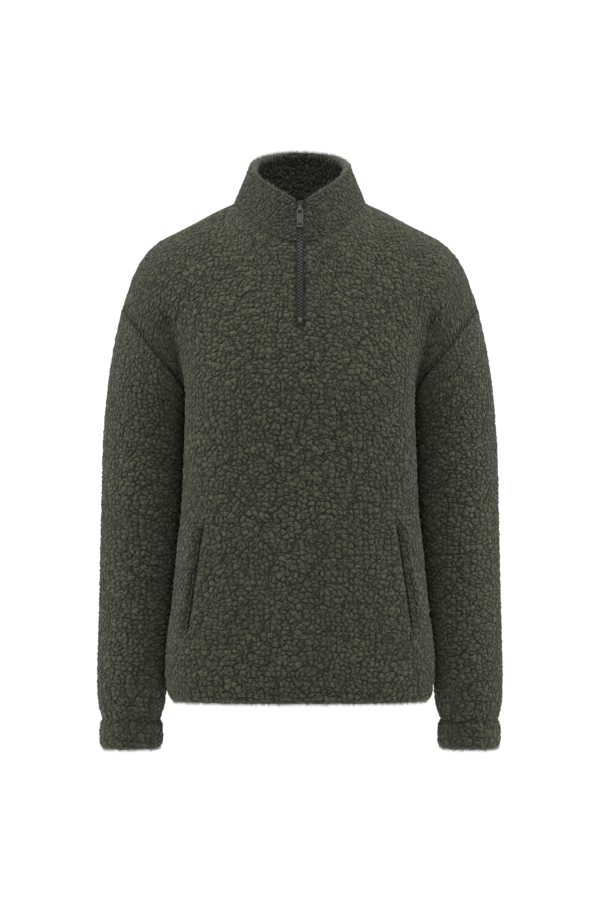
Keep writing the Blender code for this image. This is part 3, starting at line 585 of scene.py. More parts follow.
def body_section(row, facing, first_x):
    """Half a section of the body, from first_x beside the centre line to the side seam."""
    sizes = smooth_rows(BODY, np.array([float(row)]))
    z, corner, side = (float(sizes[name][0]) for name in ("z", "corner", "side"))
    depth = float(sizes["front" if facing < 0 else "back"][0])
    corner_y = CORNER_FRONT if facing < 0 else CORNER_BACK
    angle = np.linspace(0.0, math.pi / 2, SECTION_POINTS)
    x = corner * np.sin(angle) ** (2 / FULLNESS)
    y = facing * (corner_y + (depth - corner_y) * np.cos(angle) ** (2 / FULLNESS))
    left = np.linspace(1.0, 0.0, SIDE_POINTS)[1:]
    side_x = side + (corner - side) * smooth_step(left) ** SIDE_HOLD
    side_y = SEAM_Y + (facing * corner_y - SEAM_Y) * left
    path = np.stack([np.append(x, side_x), np.append(y, side_y)], axis=1)
    keep = path[:, 0] > first_x
    start = [first_x, np.interp(first_x, x, y)]
    path = np.concatenate([[start], path[keep]])
    return np.column_stack([path, np.full(len(path), z)])


def neck_seam(angle):
    """The seam between body and collar: 0 at the centre front, pi at the centre back."""
    cosine = np.cos(angle)
    front = cosine > 0
    reach_y = np.where(front, SEAM_Y - NECK_FRONT[0], NECK_BACK[0] - SEAM_Y)
    rise = np.where(front, NECK_FRONT[1], NECK_BACK[1])
    return np.stack([NECK_HALF_WIDTH * np.sin(angle), SEAM_Y - reach_y * cosine, rise * cosine**2], axis=-1)


def neck_angle(u, facing, first_x):
    """The angle round the neck of a share u of a panel, for u up to NECK_SHARE."""
    first = math.asin(first_x / NECK_HALF_WIDTH)
    angle = first + (math.pi / 2 - first) * np.clip(u / NECK_SHARE, 0.0, 1.0)
    return angle if facing < 0 else math.pi - angle


def top_edge(shares, facing, first_x):
    """The upper edge of a panel: the neckline, then the shoulder seam out to its tip."""
    neckline = neck_seam(neck_angle(shares, facing, first_x))
    steps = np.linspace(0, len(SHOULDER["x"]) - 1, RIDGE_POINTS)
    ridge = smooth_rows(SHOULDER, steps)
    path = np.column_stack([ridge["x"], np.full(len(steps), SEAM_Y), ridge["z"]])
    shoulder = along(path, np.clip((shares - NECK_SHARE) / (1 - NECK_SHARE), 0.0, 1.0))
    return np.where(shares[:, None] <= NECK_SHARE, neckline, shoulder)


def pocket_lip_x(z):
    share = (z - POCKET["z1"]) / (POCKET["z2"] - POCKET["z1"])
    return POCKET["x1"] + (POCKET["x2"] - POCKET["x1"]) * share


def pocket_strength(z):
    """How open the pocket mouth is at a height, 0 past its ends."""
    share = (POCKET["z1"] - z) / (POCKET["z1"] - POCKET["z2"])
    return smooth_step(share / POCKET_END) * smooth_step((1 - share) / POCKET_END)


def row_shares(shares, path, z):
    """The shares of a row's columns, moved so that two of them follow the pocket's lip."""
    lengths = run_lengths(path, 0)
    widest = int(np.argmax(path[:, 0]))
    lip_x = pocket_lip_x(np.clip(z, POCKET["z2"], POCKET["z1"]))
    lip = np.interp(lip_x, path[: widest + 1, 0], lengths[: widest + 1]) / lengths[-1]
    past = max(z - POCKET["z1"], POCKET["z2"] - z, 0.0)
    hold = 1.0 - smooth_step(past / POCKET_HOLD)
    lip = shares[LIP_COLUMN] + (lip - shares[LIP_COLUMN]) * hold
    foot = lip + POCKET_STEP / lengths[-1]
    foot = shares[LIP_COLUMN + 1] + (foot - shares[LIP_COLUMN + 1]) * hold
    nominal = [0.0, shares[LIP_COLUMN], shares[LIP_COLUMN + 1], 1.0]
    return np.interp(shares, nominal, [0.0, lip, foot, 1.0])


def off_line(x, z, x1, z1, x2, z2):
    """How far along a line a place is, as a share, and how far to its side."""
    length = math.hypot(x2 - x1, z2 - z1)
    run = ((x - x1) * (x2 - x1) + (z - z1) * (z2 - z1)) / length**2
    return run, ((x - x1) * (z2 - z1) - (z - z1) * (x2 - x1)) / length


def press_in(points, facing):
    """Adds the armpit creases and, on the front, the pocket mouths to a grid of points."""
    x, z = abs(points[..., 0]), points[..., 2]
    depth = np.zeros(x.shape)
    for x1, z1, x2, z2, half_width, deep, fade_in, fade_out in zip(*CREASES.values()):
        run, off = off_line(x, z, x1, z1, x2, z2)
        fade = smooth_step(run / fade_in) * smooth_step((1 - run) / fade_out)
        depth += deep * bell(off, half_width) * fade
    if facing < 0:
        past = x - pocket_lip_x(z)
        step = smooth_step(past / POCKET_STEP) * (1 - smooth_step(past / POCKET_WIDTH))
        lip = bell(past - LIP_MIDDLE, LIP_SPREAD) * (past <= LIP_END)
        depth += pocket_strength(z) * (POCKET_DEPTH * step - LIP_RISE * lip)
    pressed = points.copy()
    pressed[..., 1] -= facing * depth
    return pressed


def eased_across(grid, first_row):
    """The grid with its upper rows evened from column to column, and held at its edges."""
    grid = grid.copy()
    lengths = np.linalg.norm(np.diff(grid, axis=1), axis=-1)
    place = (lengths[:, :-1] / (lengths[:, :-1] + lengths[:, 1:]))[first_row:-1, :, None]
    up = np.linspace(0.0, 1.0, len(grid) - first_row)[:-1, None, None]
    side = np.linspace(0.0, 1.0, grid.shape[1])[1:-1, None]
    amount = smooth_step(up / EASE_FADE) * smooth_step((1 - EASE_EDGE - up) / EASE_FADE)
    amount = amount * smooth_step((1 - 2 * EASE_EDGE - side) / EASE_FADE)
    for turn in range(UPPER_EASINGS):
        rows = grid[first_row:-1]
        between = rows[:, :-2] + (rows[:, 2:] - rows[:, :-2]) * place
        rows[:, 1:-1] += (between - rows[:, 1:-1]) * amount / 2
    return grid


def half_panel(facing, first_x, shares, rows):
    """Half a panel as a grid: rows go up from the hem, columns go out from the centre line."""
    shares = np.asarray(shares, float)
    grid = []
    for row in rows:
        path = body_section(row, facing, first_x)
        placed = row_shares(shares, path, path[0, 2]) if facing < 0 else shares
        grid.append(along(path, placed))
    low = grid[-1]
    high = top_edge(shares, facing, first_x)
    ends = smooth_rows(HANDLES, np.interp(shares, HANDLES["u"], np.arange(len(HANDLES["u"]))))
    end_out = ends["end_out_front" if facing < 0 else "end_out_back"]
    slope = (low - grid[-2]) / (low - grid[-2])[:, 2:]
    leave = slope * ends["start_up"][:, None]
    leave[:, 1] += facing * ends["start_out"]
    come_in = np.column_stack([ends["end_aside"], facing * end_out, ends["end_up"]])
    for step in range(1, UPPER_STEPS + 1):
        grid.append(curve(low, leave, come_in, high, np.full(len(shares), step / UPPER_STEPS)))
    return eased_across(np.array(grid), len(rows))


def normals_of(grid, around=False):
    """Unit normals of a grid of points, outwards where rows go up and columns go to +X in front."""
    padded = np.concatenate([grid[:, -1:], grid, grid[:, :1]], axis=1) if around else grid
    normal = np.cross(np.gradient(padded, axis=1), np.gradient(padded, axis=0))
    if around:
        normal = normal[:, 1:-1]
    return unit(normal)


def unit(vectors):
    return vectors / np.linalg.norm(vectors, axis=-1, keepdims=True)


def flattened(vectors, normal, amount=1.0):
    """Vectors turned towards the plane with this normal, by amount, and made unit length again."""
    normal = unit(np.asarray(normal))
    amount = np.asarray(amount)[..., None]
    return unit(vectors - amount * (vectors @ normal)[..., None] * normal)


def armhole_normal():
    """The unit normal of the armhole's plane, pointing down into the sleeve at +X."""
    rise = SLEEVE["outer_z"][0] - SLEEVE["inner_z"][0]
    run = SLEEVE["outer_x"][0] - SLEEVE["inner_x"][0]
    return np.array([rise, 0.0, -run]) / math.hypot(rise, run)


def neck_column(half):
    """The column of half a panel that ends where the shoulder seam meets the neck."""
    return int(np.argmin(abs(half[-1, :, 0] - NECK_HALF_WIDTH)))


def seam_normals(half, facing, rows):
    """The through-wall directions of half a panel, lying in the seam's plane where seams are planar."""
    normal = normals_of(half) * (-1.0 if facing > 0 else 1.0)
    normal[:rows, -1] = flattened(normal[:rows, -1], TO_BACK)
    upper = np.linspace(0.0, 1.0, len(half) - rows + 1)
    in_plane = smooth_step((upper - IN_PLANE_FROM[facing]) / IN_PLANE_EASE)
    normal[rows - 1 :, -1] = flattened(normal[rows - 1 :, -1], armhole_normal(), in_plane)
    shoulder = slice(neck_column(half), None)
    normal[-1, shoulder] = flattened(normal[-1, shoulder], TO_BACK)
    normal[:, 0] = flattened(normal[:, 0], ACROSS)
    return normal


def share_neck_point(front, back):
    """Gives both panels one through-wall direction at the neck point, and eases it round the neck."""
    places = [(half, normal, neck_column(half)) for half, normal in (front, back)]
    common = unit(sum(normal[-1, column] for half, normal, column in places))
    for half, normal, column in places:
        normal[-1, column] = common
        for turn in range(NECK_EASINGS):
            edge = normal[-1, : column + 1]
            edge[1:-1] = unit(edge[1:-1] + (edge[:-2] + edge[2:]) / 2)


def panel_halves():
    """Half the front and half the back, each as its unpressed grid and its through-wall directions."""
    halves = []
    for facing, first_x, shares, rows in (
        (-1.0, SLIT_HALF, FRONT_SHARES, FRONT_ROWS),
        (1.0, 0.0, BACK_SHARES, BACK_ROWS),
    ):
        half = half_panel(facing, first_x, shares, rows)
        halves.append((half, seam_normals(press_in(half, facing), facing, len(rows))))
    share_neck_point(*halves)
    return halves


def tube_rings(rows):
    """Rings of a sleeve or cuff at +X, each from its inner edge round the front to its outer edge."""
    t = np.linspace(0.0, 1.0, UPPER_STEPS + 1)
    rings = []
    for outer_x, outer_z, inner_x, inner_z, y, front, back in zip(*rows.values()):
        inside = np.array([inner_x, y, inner_z])
        outside = np.array([outer_x, y, outer_z])
        reach = OVAL_HANDLE * np.array(TO_BACK)
        ahead = curve(inside, -front * reach, -front * reach, outside, t)
        behind = curve(outside, back * reach, back * reach, inside, t)
        rings.append(np.concatenate([ahead[:-1], behind[:-1]]))
    return np.array(rings)


def collar_rim(angle):
    """The top of the collar, 0 at the centre front, pi at the centre back."""
    middle = (RIM_FRONT_Y + RIM_BACK_Y) / 2
    half_depth = (RIM_BACK_Y - RIM_FRONT_Y) / 2
    rise = RIM_Z[0] + (RIM_Z[1] - RIM_Z[0]) * np.sin(angle / 2) ** RIM_RISE
    return np.stack([RIM_HALF_WIDTH * np.sin(angle), middle - half_depth * np.cos(angle), rise], axis=-1)


def collar_section(angle, seam, through, onward):
    """The collar's closed section at one angle: up the outside, over the rim and down the inside."""
    rim = collar_rim(angle)
    half_depth = (RIM_BACK_Y - RIM_FRONT_Y) / 2
    out = unit(np.array([np.sin(angle) / RIM_HALF_WIDTH, -np.cos(angle) / half_depth, 0.0]))
    up = np.array(UP)
    start = seam + COLLAR_GAP * onward
    outside = rim + RIM_HALF_WALL * out - RIM_DROP * up
    inside = rim - RIM_HALF_WALL * out - RIM_DROP * up
    start_in = start - COLLAR_WALL * through
    shares = np.linspace(0.0, 1.0, COLLAR_STEPS)[:, None]
    aside = RIM_HALF_WALL * math.sin(math.pi / 4)
    lower = RIM_DROP * (1 - math.cos(math.pi / 4))
    rim_arc = [rim + aside * out - lower * up, rim, rim - aside * out - lower * up]
    up_outside = start + (outside - start) * shares
    down_inside = inside + (start_in - inside) * shares
    return np.concatenate([up_outside, rim_arc, down_inside])


def collar_rings(front, back):
    """The collar's sections from the zip's right edge round the back to its left edge."""
    sections = []
    for (half, normal), facing, first_x, shares in (
        (front, -1.0, SLIT_HALF, FRONT_SHARES),
        (back, 1.0, 0.0, BACK_SHARES),
    ):
        shares = np.array([share for share in shares if share <= NECK_SHARE])
        part = []
        for column, angle in enumerate(neck_angle(shares, facing, first_x)):
            through = normal[-1, column]
            seam = neck_seam(angle)
            edge = neck_seam(angle + NECK_ANGLE_STEP) - neck_seam(angle - NECK_ANGLE_STEP)
            ahead = unit(np.cross(through, edge))
            ahead *= np.sign(ahead @ (collar_rim(angle) - seam))
            part.append(collar_section(angle, seam, through, ahead))
        sections.append(part)
    half_ring = np.array(sections[0] + sections[1][-2::-1])
    half_ring[0, :, 0] = SLIT_HALF
    return np.concatenate([half_ring, half_ring[-2::-1] * MIRROR])


def zip_line():
    """Heights and depths of the cloth's outside beside the zip, from the hem to the collar's top."""
    front, back = panel_halves()
    panel = press_in(front[0], -1.0)[len(FRONT_ROWS) - 1 :, 0]
    collar = collar_rings(front, back)[0, 1:COLLAR_STEPS]
    path = np.concatenate([panel, collar])
    return path[:, 2], path[:, 1]


def zip_point(line, z, depth):
    """The point on the centre line at a height, at a depth behind the cloth's outside."""
    step = 1.0
    y = np.interp(z, *line)
    lean = (np.interp(z + step, *line) - np.interp(z - step, *line)) / (2 * step)
    length = math.hypot(1.0, lean)
    return np.array([0.0, y + depth / length, z - depth * lean / length])


def zip_frame(line, z, depth):
    """A place on the zip as a matrix in metres: X runs across, Y into the cloth, Z up the zip."""
    rise = zip_point(line, z + FRAME_REACH, depth) - zip_point(line, z - FRAME_REACH, depth)
    turn = Euler((-math.atan2(rise[1], rise[2]), 0.0, 0.0)).to_matrix().to_4x4()
    return Matrix.Translation(Vector(zip_point(line, z, depth) * MM)) @ turn


def step_counts(values):
    """How many fine steps each interval between rows takes."""
    lengths = np.linalg.norm(np.diff(values[..., :3], axis=0), axis=-1).mean(axis=1)
    return FINE * np.maximum(1, np.round(lengths / COARSE_STEP)).astype(int)


def refine(values, counts, corner=0.0):
    """Rows between the rows, on smooth curves through them. Corner is 1 where a line turns sharply."""
    step = np.diff(values, axis=0)
    length = np.linalg.norm(step[..., :3], axis=-1, keepdims=True)
    speed = step / length
    before, after = np.concatenate([speed[:1], speed]), np.concatenate([speed, speed[-1:]])
    near, far = np.concatenate([length[:1], length]), np.concatenate([length, length[-1:]])
    even = (before * far + after * near) / (near + far)
    corner = np.broadcast_to(corner, values.shape[:2])[..., None]
    leave = even + corner * (after - even)
    arrive = even + corner * (before - even)
    made = []
    for row, count in enumerate(counts):
        t = (np.arange(count) / count)[:, None, None]
        ends = values[row], length[row] * leave[row], values[row + 1], length[row] * arrive[row + 1]
        made.append(hermite(*ends, t))
    return np.concatenate(made + [values[-1:]])


def dip(seam, distance):
    """How far a seam draws the cloth in at a distance from it."""
    depth, reach = seam
    return depth * bell(distance, reach)


def folded(points, through):
    """Presses the soft folds into a grid of points, each on the side that faces its way."""
    x, z = points[..., 0], points[..., 2]
    depth = dip(HEM_FOLD, z - HEM_FOLD_Z) * (abs(x) < BODY["corner"].max())
    for side, x1, z1, x2, z2, half_width, deep in zip(*FOLDS.values()):
        run, off = off_line(x, z, x1, z1, x2, z2)
        fade = smooth_step((run + FOLD_ENDS) / FOLD_ENDS) * smooth_step((1 + FOLD_ENDS - run) / FOLD_ENDS)
        towards = smooth_step(side * through[..., 1] / FOLD_FACING)
        depth += deep * bell(off, half_width) * fade * towards
    return points - depth[..., None] * through


def boundary_sides(kept, around):
    """The sides of kept cells with no kept neighbour, each as its two corners, the cell on its left."""
    rows, columns = kept.shape
    sides = []
    for row, column in zip(*np.nonzero(kept)):
        beside = (column + 1) % columns if around else column + 1
        last = (column - 1) % columns if around else column - 1
        if row == 0 or not kept[row - 1, column]:
            sides.append(((row, column), (row, column + 1)))
        if row == rows - 1 or not kept[row + 1, column]:
            sides.append(((row + 1, column + 1), (row + 1, column)))
        if beside == columns or not kept[row, beside]:
            sides.append(((row, column + 1), (row + 1, column + 1)))
        if last < 0 or not kept[row, last]:
            sides.append(((row + 1, column), (row, column)))
    return sides


def cloth_shell(name, outer, inner, place, marks, kept=None, around=False):
    """A closed wall of cloth with a fine outer grid and an inner grid with a point for every FINE.

    Place holds each outer point's place on the flat cloth in metres, with one column more than the
    grid where it goes round, and marks holds what is kept for each point, such as the pile's height.
    """
    columns, inner_columns = outer.shape[1], inner.shape[1]
    cells = (inner.shape[0] - 1, inner_columns if around else inner_columns - 1)
    kept = np.ones(cells, bool) if kept is None else kept
    first_inner = outer.shape[0] * columns

    def outer_at(row, column):
        return row * columns + column % columns

    def inner_at(row, column):
        return first_inner + row * inner_columns + column % inner_columns

    row, column = np.nonzero(kept.repeat(FINE, 0).repeat(FINE, 1))
    corners = [(row, column), (row, column + 1), (row + 1, column + 1), (row + 1, column)]
    fine = np.stack([outer_at(*corner) for corner in corners], axis=1)
    fine_place = np.stack([place[corner] for corner in corners], axis=1)
    row, column = np.nonzero(kept)
    corners = [(row, column), (row + 1, column), (row + 1, column + 1), (row, column + 1)]
    coarse = np.stack([inner_at(*corner) for corner in corners], axis=1)
    coarse_place = np.stack([place[FINE * r, FINE * c] for r, c in corners], axis=1)
    faces = fine.tolist() + coarse.tolist()
    places = list(fine_place.reshape(-1, 2)) + list(coarse_place.reshape(-1, 2))
    for start, end in boundary_sides(kept, around):
        start, end = np.array(start), np.array(end)
        chain = [tuple(end * FINE + (start - end) * step) for step in range(FINE + 1)]
        faces.append([outer_at(*at) for at in chain] + [inner_at(*start), inner_at(*end)])
        places += [place[at] for at in chain] + [place[tuple(start * FINE)], place[tuple(end * FINE)]]
    used, renumbered = np.unique(np.concatenate(faces), return_inverse=True)
    sizes = np.cumsum([len(face) for face in faces])[:-1]
    points = np.concatenate([outer.reshape(-1, 3), inner.reshape(-1, 3)])[used]
    kept_marks = {}
    for mark, values in with_place(marks, place[:, :columns]).items():
        width = values.shape[-1] if values.ndim == 3 else 1
        below = values[::FINE, ::FINE] * (mark in ("through", "place", "shade"))
        kept_marks[mark] = np.concatenate([values.reshape(-1, width), below.reshape(-1, width)])[used]
    is_inner = np.zeros(len(faces), bool)
    is_inner[len(fine) : len(fine) + len(coarse)] = True
    polygons = [face.tolist() for face in np.split(renumbered, sizes)]
    return cloth_mesh(name, points, polygons, places, kept_marks, is_inner)


def with_place(marks, flat):
    """The marks and, as one more, each point's place on the flat cloth."""
    return dict(marks, place=np.concatenate([flat, np.zeros_like(flat[..., :1])], axis=-1))


def cloth_mesh(name, points, faces, places, marks, is_inner):
    """A cloth piece with its flat places as UVs, its points' marks and which faces are inside."""
    mesh = bpy.data.meshes.new(name)
    mesh.from_pydata((points * MM).tolist(), [], faces)
    mesh.uv_layers.new(name="cloth").uv.foreach_set("vector", np.array(places, np.float32).ravel())
    for mark, values in marks.items():
        kind, field = ("FLOAT_VECTOR", "vector") if values.shape[-1] == 3 else ("FLOAT", "value")
        mesh.attributes.new(mark, kind, "POINT").data.foreach_set(field, values.astype(np.float32).ravel())
    mesh.attributes.new("inner", "BOOLEAN", "FACE").data.foreach_set("value", is_inner)
    return add_object(name, mesh)


def linked(name, data):
    obj = bpy.data.objects.new(name, data)
    bpy.context.scene.collection.objects.link(obj)
    return obj


def add_object(name, mesh):
    mesh.name = name
    mesh.shade_smooth()
    return linked(name, mesh)


def evaluated_mesh(obj):
    graph = bpy.context.evaluated_depsgraph_get()
    return bpy.data.meshes.new_from_object(obj.evaluated_get(graph))


def plain_copy(obj):
    """Gives the object its evaluated shape as a plain mesh and takes its modifiers away."""
    mesh = evaluated_mesh(obj)
    mesh.name = obj.name
    obj.modifiers.clear()
    obj.data = mesh
    return obj


def plain_mesh_object(obj, place):
    """Turns a curve or mesh object into a plain mesh at the origin, moved to its place in metres."""
    mesh = evaluated_mesh(obj)
    name = obj.name
    bpy.data.objects.remove(obj, do_unlink=True)
    build = bmesh.new()
    build.from_mesh(mesh)
    bmesh.ops.remove_doubles(build, verts=build.verts, dist=WELD)
    build.transform(place)
    bmesh.ops.recalc_face_normals(build, faces=build.faces)
    build.to_mesh(mesh)
    build.free()
    return add_object(name, mesh)


def joined(name, parts, material):
    """One mesh object made of the parts' meshes, which are removed."""
    build = bmesh.new()
    for part in parts:
        build.from_mesh(part.data)
        bpy.data.objects.remove(part, do_unlink=True)
    mesh = bpy.data.meshes.new(name)
    build.to_mesh(mesh)
    build.free()
    obj = add_object(name, mesh)
    mesh.set_sharp_from_angle(angle=SHARP_ANGLE)
    mesh.materials.append(material)
    return obj


def node(tree, kind, inputs=(), **settings):
    """A new node with its settings, and its inputs linked or set by name or number."""
    made = tree.nodes.new(kind)
    for name, value in settings.items():
        setattr(made, name, value)
    for name, value in dict(inputs).items():
        if isinstance(value, bpy.types.NodeSocket):
            tree.links.new(value, made.inputs[name])
        else:
            made.inputs[name].default_value = value
    return made


def maths(tree, operation, *values, clamp=False):
    kind = "ShaderNodeMath"
    return node(tree, kind, enumerate(values), operation=operation, use_clamp=clamp).outputs[0]


def vector_maths(tree, operation, *values):
    return node(tree, "ShaderNodeVectorMath", enumerate(values), operation=operation).outputs[0]


def scaled(tree, vector, factor):
    made = node(tree, "ShaderNodeVectorMath", {0: vector, "Scale": factor}, operation="SCALE")
    return made.outputs[0]


def noise(tree, vector, scale, detail=0.0, roughness=0.5, dimensions="2D"):
    inputs = {"Vector": vector, "Scale": scale, "Detail": detail, "Roughness": roughness}
    return node(tree, "ShaderNodeTexNoise", inputs, noise_dimensions=dimensions)


def centred(tree, value, amount):
    """A value from 0 to 1, moved to lie round 0 and grown by amount."""
    return maths(tree, "MULTIPLY", maths(tree, "SUBTRACT", value, 0.5), amount)


def changed(tree, base, value, amount):
    """A factor round base that follows a value from 0 to 1 by amount."""
    return maths(tree, "ADD", centred(tree, value, amount), base)


def mix_colours(tree, factor, first, second):
    return node(tree, "ShaderNodeMix", {0: factor, 6: first, 7: second}, data_type="RGBA").outputs[2]


def darker_mix(tree, factor, share, colour):
    """A colour where the factor is 1, and a share of it where the factor is 0."""
    dark = [share * value for value in colour]
    return mix_colours(tree, factor, (*dark, 1.0), (*colour, 1.0))


def new_group(name, kind, inputs, outputs):
    """A node group with named sockets: inputs as (name, type, default), outputs as (name, type)."""
    tree = bpy.data.node_groups.new(name, kind)
    for label, socket, *default in inputs:
        made = tree.interface.new_socket(label, in_out="INPUT", socket_type=socket)
        if default:
            made.default_value = default[0]
    for label, socket in outputs:
        tree.interface.new_socket(label, in_out="OUTPUT", socket_type=socket)
    return tree, tree.nodes.new("NodeGroupInput").outputs, tree.nodes.new("NodeGroupOutput").inputs


def geometry_group(name, *inputs):
    """A Geometry Nodes group with a geometry in and out, and further inputs."""
    geometry = ("Geometry", "NodeSocketGeometry")
    return new_group(name, "GeometryNodeTree", (geometry, *inputs), (geometry,))


def finish_group(tree, geometry, material, result):
    """Ends Geometry Nodes: its instances made real, with their material."""
    real = node(tree, "GeometryNodeRealizeInstances", {0: geometry}).outputs[0]
    ends = {"Geometry": real, "Material": material}
    tree.links.new(node(tree, "GeometryNodeSetMaterial", ends).outputs[0], result["Geometry"])


def set_inputs(modifier, values):
    """Sets a Geometry Nodes modifier's inputs, found by name, through their identifiers."""
    for item in modifier.node_group.interface.items_tree:
        if item.in_out == "INPUT" and item.name in values:
            modifier[item.identifier] = values[item.name]


def lump_pattern(tree, place, size, stretch):
    """The pile's lumps in lump sizes: distances to a groove and to a long groove, own colour, place."""
    across = vector_maths(tree, "MULTIPLY", place, stretch)
    at = scaled(tree, across, maths(tree, "DIVIDE", 1.0, size))
    bent = at
    for scale, amount in (SLOW_WAVES, QUICK_WAVES, FINE_WAVES):
        bend = noise(tree, at, scale, detail=1.0).outputs["Color"]
        bend = vector_maths(tree, "SUBTRACT", bend, (0.5, 0.5, 0.5))
        bent = vector_maths(tree, "ADD", bent, scaled(tree, bend, amount))
    inputs = {"Vector": bent, "Scale": 1.0, "Randomness": LUMP_RANDOMNESS}
    edge = node(tree, "ShaderNodeTexVoronoi", inputs, voronoi_dimensions="2D", feature="DISTANCE_TO_EDGE")
    cell = node(tree, "ShaderNodeTexVoronoi", inputs, voronoi_dimensions="2D", feature="F1")
    turned = node(tree, "ShaderNodeVectorRotate", {"Vector": bent, "Angle": LONG_GROOVE_SLANT}).outputs[0]
    inputs["Vector"] = vector_maths(tree, "MULTIPLY", turned, LONG_GROOVE_SCALE)
    group = node(tree, "ShaderNodeTexVoronoi", inputs, voronoi_dimensions="2D", feature="DISTANCE_TO_EDGE")
    to_long = maths(tree, "MULTIPLY", group.outputs["Distance"], LONG_GROOVE_WIDTH)
    grown = noise(tree, at, MERGE_SCALE, detail=2.0).outputs[0]
    merge = maths(tree, "SUBTRACT", grown, MERGE_FROM, clamp=True)
    soft = maths(tree, "ADD", edge.outputs["Distance"], maths(tree, "MULTIPLY", merge, MERGE_AMOUNT))
    nearest = maths(tree, "MINIMUM", soft, to_long)
    return nearest, to_long, cell.outputs["Color"], at


def rounded_top(tree, edge, to_long):
    """The height of a lump from 0 at its edge to 1 on its round top, lower beside a long groove."""
    share = maths(tree, "DIVIDE", edge, LUMP_SHOULDER, clamp=True)
    dome = maths(tree, "MULTIPLY", share, maths(tree, "SUBTRACT", 2.0, share))
    level = maths(tree, "DIVIDE", to_long, LONG_GROOVE_VALLEY, clamp=True)
    rise = maths(tree, "MULTIPLY", level, 1.0 - LUMP_LEVEL)
    return maths(tree, "MULTIPLY", dome, maths(tree, "ADD", LUMP_LEVEL, rise))


def relief_tree():
    """Geometry Nodes that raise the lumps of the pile from the cloth's outer side."""
    tree, given, result = geometry_group(
        "Sherpa Relief",
        ("Lump Size", "NodeSocketFloat", LUMP_SIZE),
        ("Stretch", "NodeSocketVector", BODY_STRETCH),
        ("Depth", "NodeSocketFloat", LUMP_DEPTH),
        ("Unevenness", "NodeSocketFloat", LUMP_UNEVENNESS),
        ("Pile", "NodeSocketMaterial"),
        ("Knit", "NodeSocketMaterial"),
    )

    def attribute(name, kind="FLOAT"):
        return node(tree, "GeometryNodeInputNamedAttribute", {"Name": name}, data_type=kind).outputs[0]

    place = attribute("place", "FLOAT_VECTOR")
    edge, to_long, colour, at = lump_pattern(tree, place, given["Lump Size"], given["Stretch"])
    height = rounded_top(tree, edge, to_long)
    own = node(tree, "ShaderNodeSeparateXYZ", {0: colour}).outputs[0]
    uneven = centred(tree, own, given["Unevenness"])
    rough = noise(tree, at, LUMP_ROUGHNESS, detail=1.0).outputs[0]
    rough = centred(tree, rough, given["Unevenness"])
    sunk = maths(tree, "MULTIPLY", maths(tree, "SUBTRACT", height, 1.0), given["Depth"])
    raised = maths(tree, "ADD", sunk, maths(tree, "MULTIPLY", maths(tree, "ADD", uneven, rough), height))
    raised = maths(tree, "MULTIPLY", raised, attribute("pile"))
    offset = scaled(tree, attribute("through", "FLOAT_VECTOR"), raised)
    moved = node(tree, "GeometryNodeSetPosition", {"Geometry": given["Geometry"], "Offset": offset})
    real = node(tree, "GeometryNodeRealizeInstances", {0: moved.outputs[0]})
    pile = node(tree, "GeometryNodeSetMaterial", {"Geometry": real.outputs[0], "Material": given["Pile"]})
    inner = attribute("inner", "BOOLEAN")
    ends = {"Geometry": pile.outputs[0], "Selection": inner, "Material": given["Knit"]}
    tree.links.new(node(tree, "GeometryNodeSetMaterial", ends).outputs[0], result["Geometry"])
    return tree


def fibre_tree():
    """Geometry Nodes that set short fibres on a surface, thickest where its fringe mark is highest."""
    tree, given, result = geometry_group(
        "Pile Fibres",
        ("Fibres per Square Metre", "NodeSocketFloat", FIBRE_COUNT),
        ("Length", "NodeSocketFloat", FIBRE_LENGTH),
        ("Radius", "NodeSocketFloat", FIBRE_RADIUS),
        ("Lean", "NodeSocketFloat", FIBRE_LEAN),
        ("Drop", "NodeSocketFloat", 0.0),
        ("Seed", "NodeSocketInt", 0),
        ("Fibre", "NodeSocketMaterial"),
    )
    fringe = node(tree, "GeometryNodeInputNamedAttribute", {"Name": "fringe"}, data_type="FLOAT").outputs[0]
    at = node(tree, "GeometryNodeInputPosition").outputs[0]
    tuft = noise(tree, at, TUFT_SCALE, detail=1.0, dimensions="3D").outputs[0]
    tufts = changed(tree, 1.0, tuft, TUFT_STRENGTH)
    density = maths(tree, "MULTIPLY", fringe, given["Fibres per Square Metre"])
    density = maths(tree, "MULTIPLY", density, maths(tree, "MAXIMUM", tufts, 0.0))
    spread = {"Mesh": given["Geometry"], "Density": density, "Seed": given["Seed"]}
    points = node(tree, "GeometryNodeDistributePointsOnFaces", spread, distribute_method="RANDOM")
    shape = {"Vertices": 3, "Radius Top": 0.0, "Radius Bottom": given["Radius"], "Depth": given["Length"]}
    cone = node(tree, "GeometryNodeMeshCone", shape, fill_type="NGON")
    lean = vector_maths(tree, "MULTIPLY", (1.0, 1.0, 1.0), given["Lean"])
    ends = {"Min": scaled(tree, lean, -1.0), "Max": lean, "Seed": given["Seed"]}
    tilt = node(tree, "FunctionNodeRandomValue", ends, data_type="FLOAT_VECTOR").outputs[0]
    drop = node(tree, "ShaderNodeCombineXYZ", {2: maths(tree, "MULTIPLY", given["Drop"], -1.0)}).outputs[0]
    aim = vector_maths(tree, "ADD", points.outputs["Normal"], drop)
    stand = node(tree, "FunctionNodeAlignRotationToVector", {"Vector": aim}, axis="Z").outputs[0]
    turn = {"Rotation": stand, "Rotate By": tilt}
    turned = node(tree, "FunctionNodeRotateRotation", turn, rotation_space="LOCAL").outputs[0]
    ends = {2: FIBRE_SIZES[0], 3: FIBRE_SIZES[1], "Seed": given["Seed"]}
    sizes = node(tree, "FunctionNodeRandomValue", ends, data_type="FLOAT")
    put = {
        "Points": points.outputs["Points"],
        "Instance": cone.outputs["Mesh"],
        "Rotation": turned,
        "Scale": sizes.outputs[1],
    }
    placed = node(tree, "GeometryNodeInstanceOnPoints", put)
    finish_group(tree, placed.outputs[0], given["Fibre"], result)
    return tree


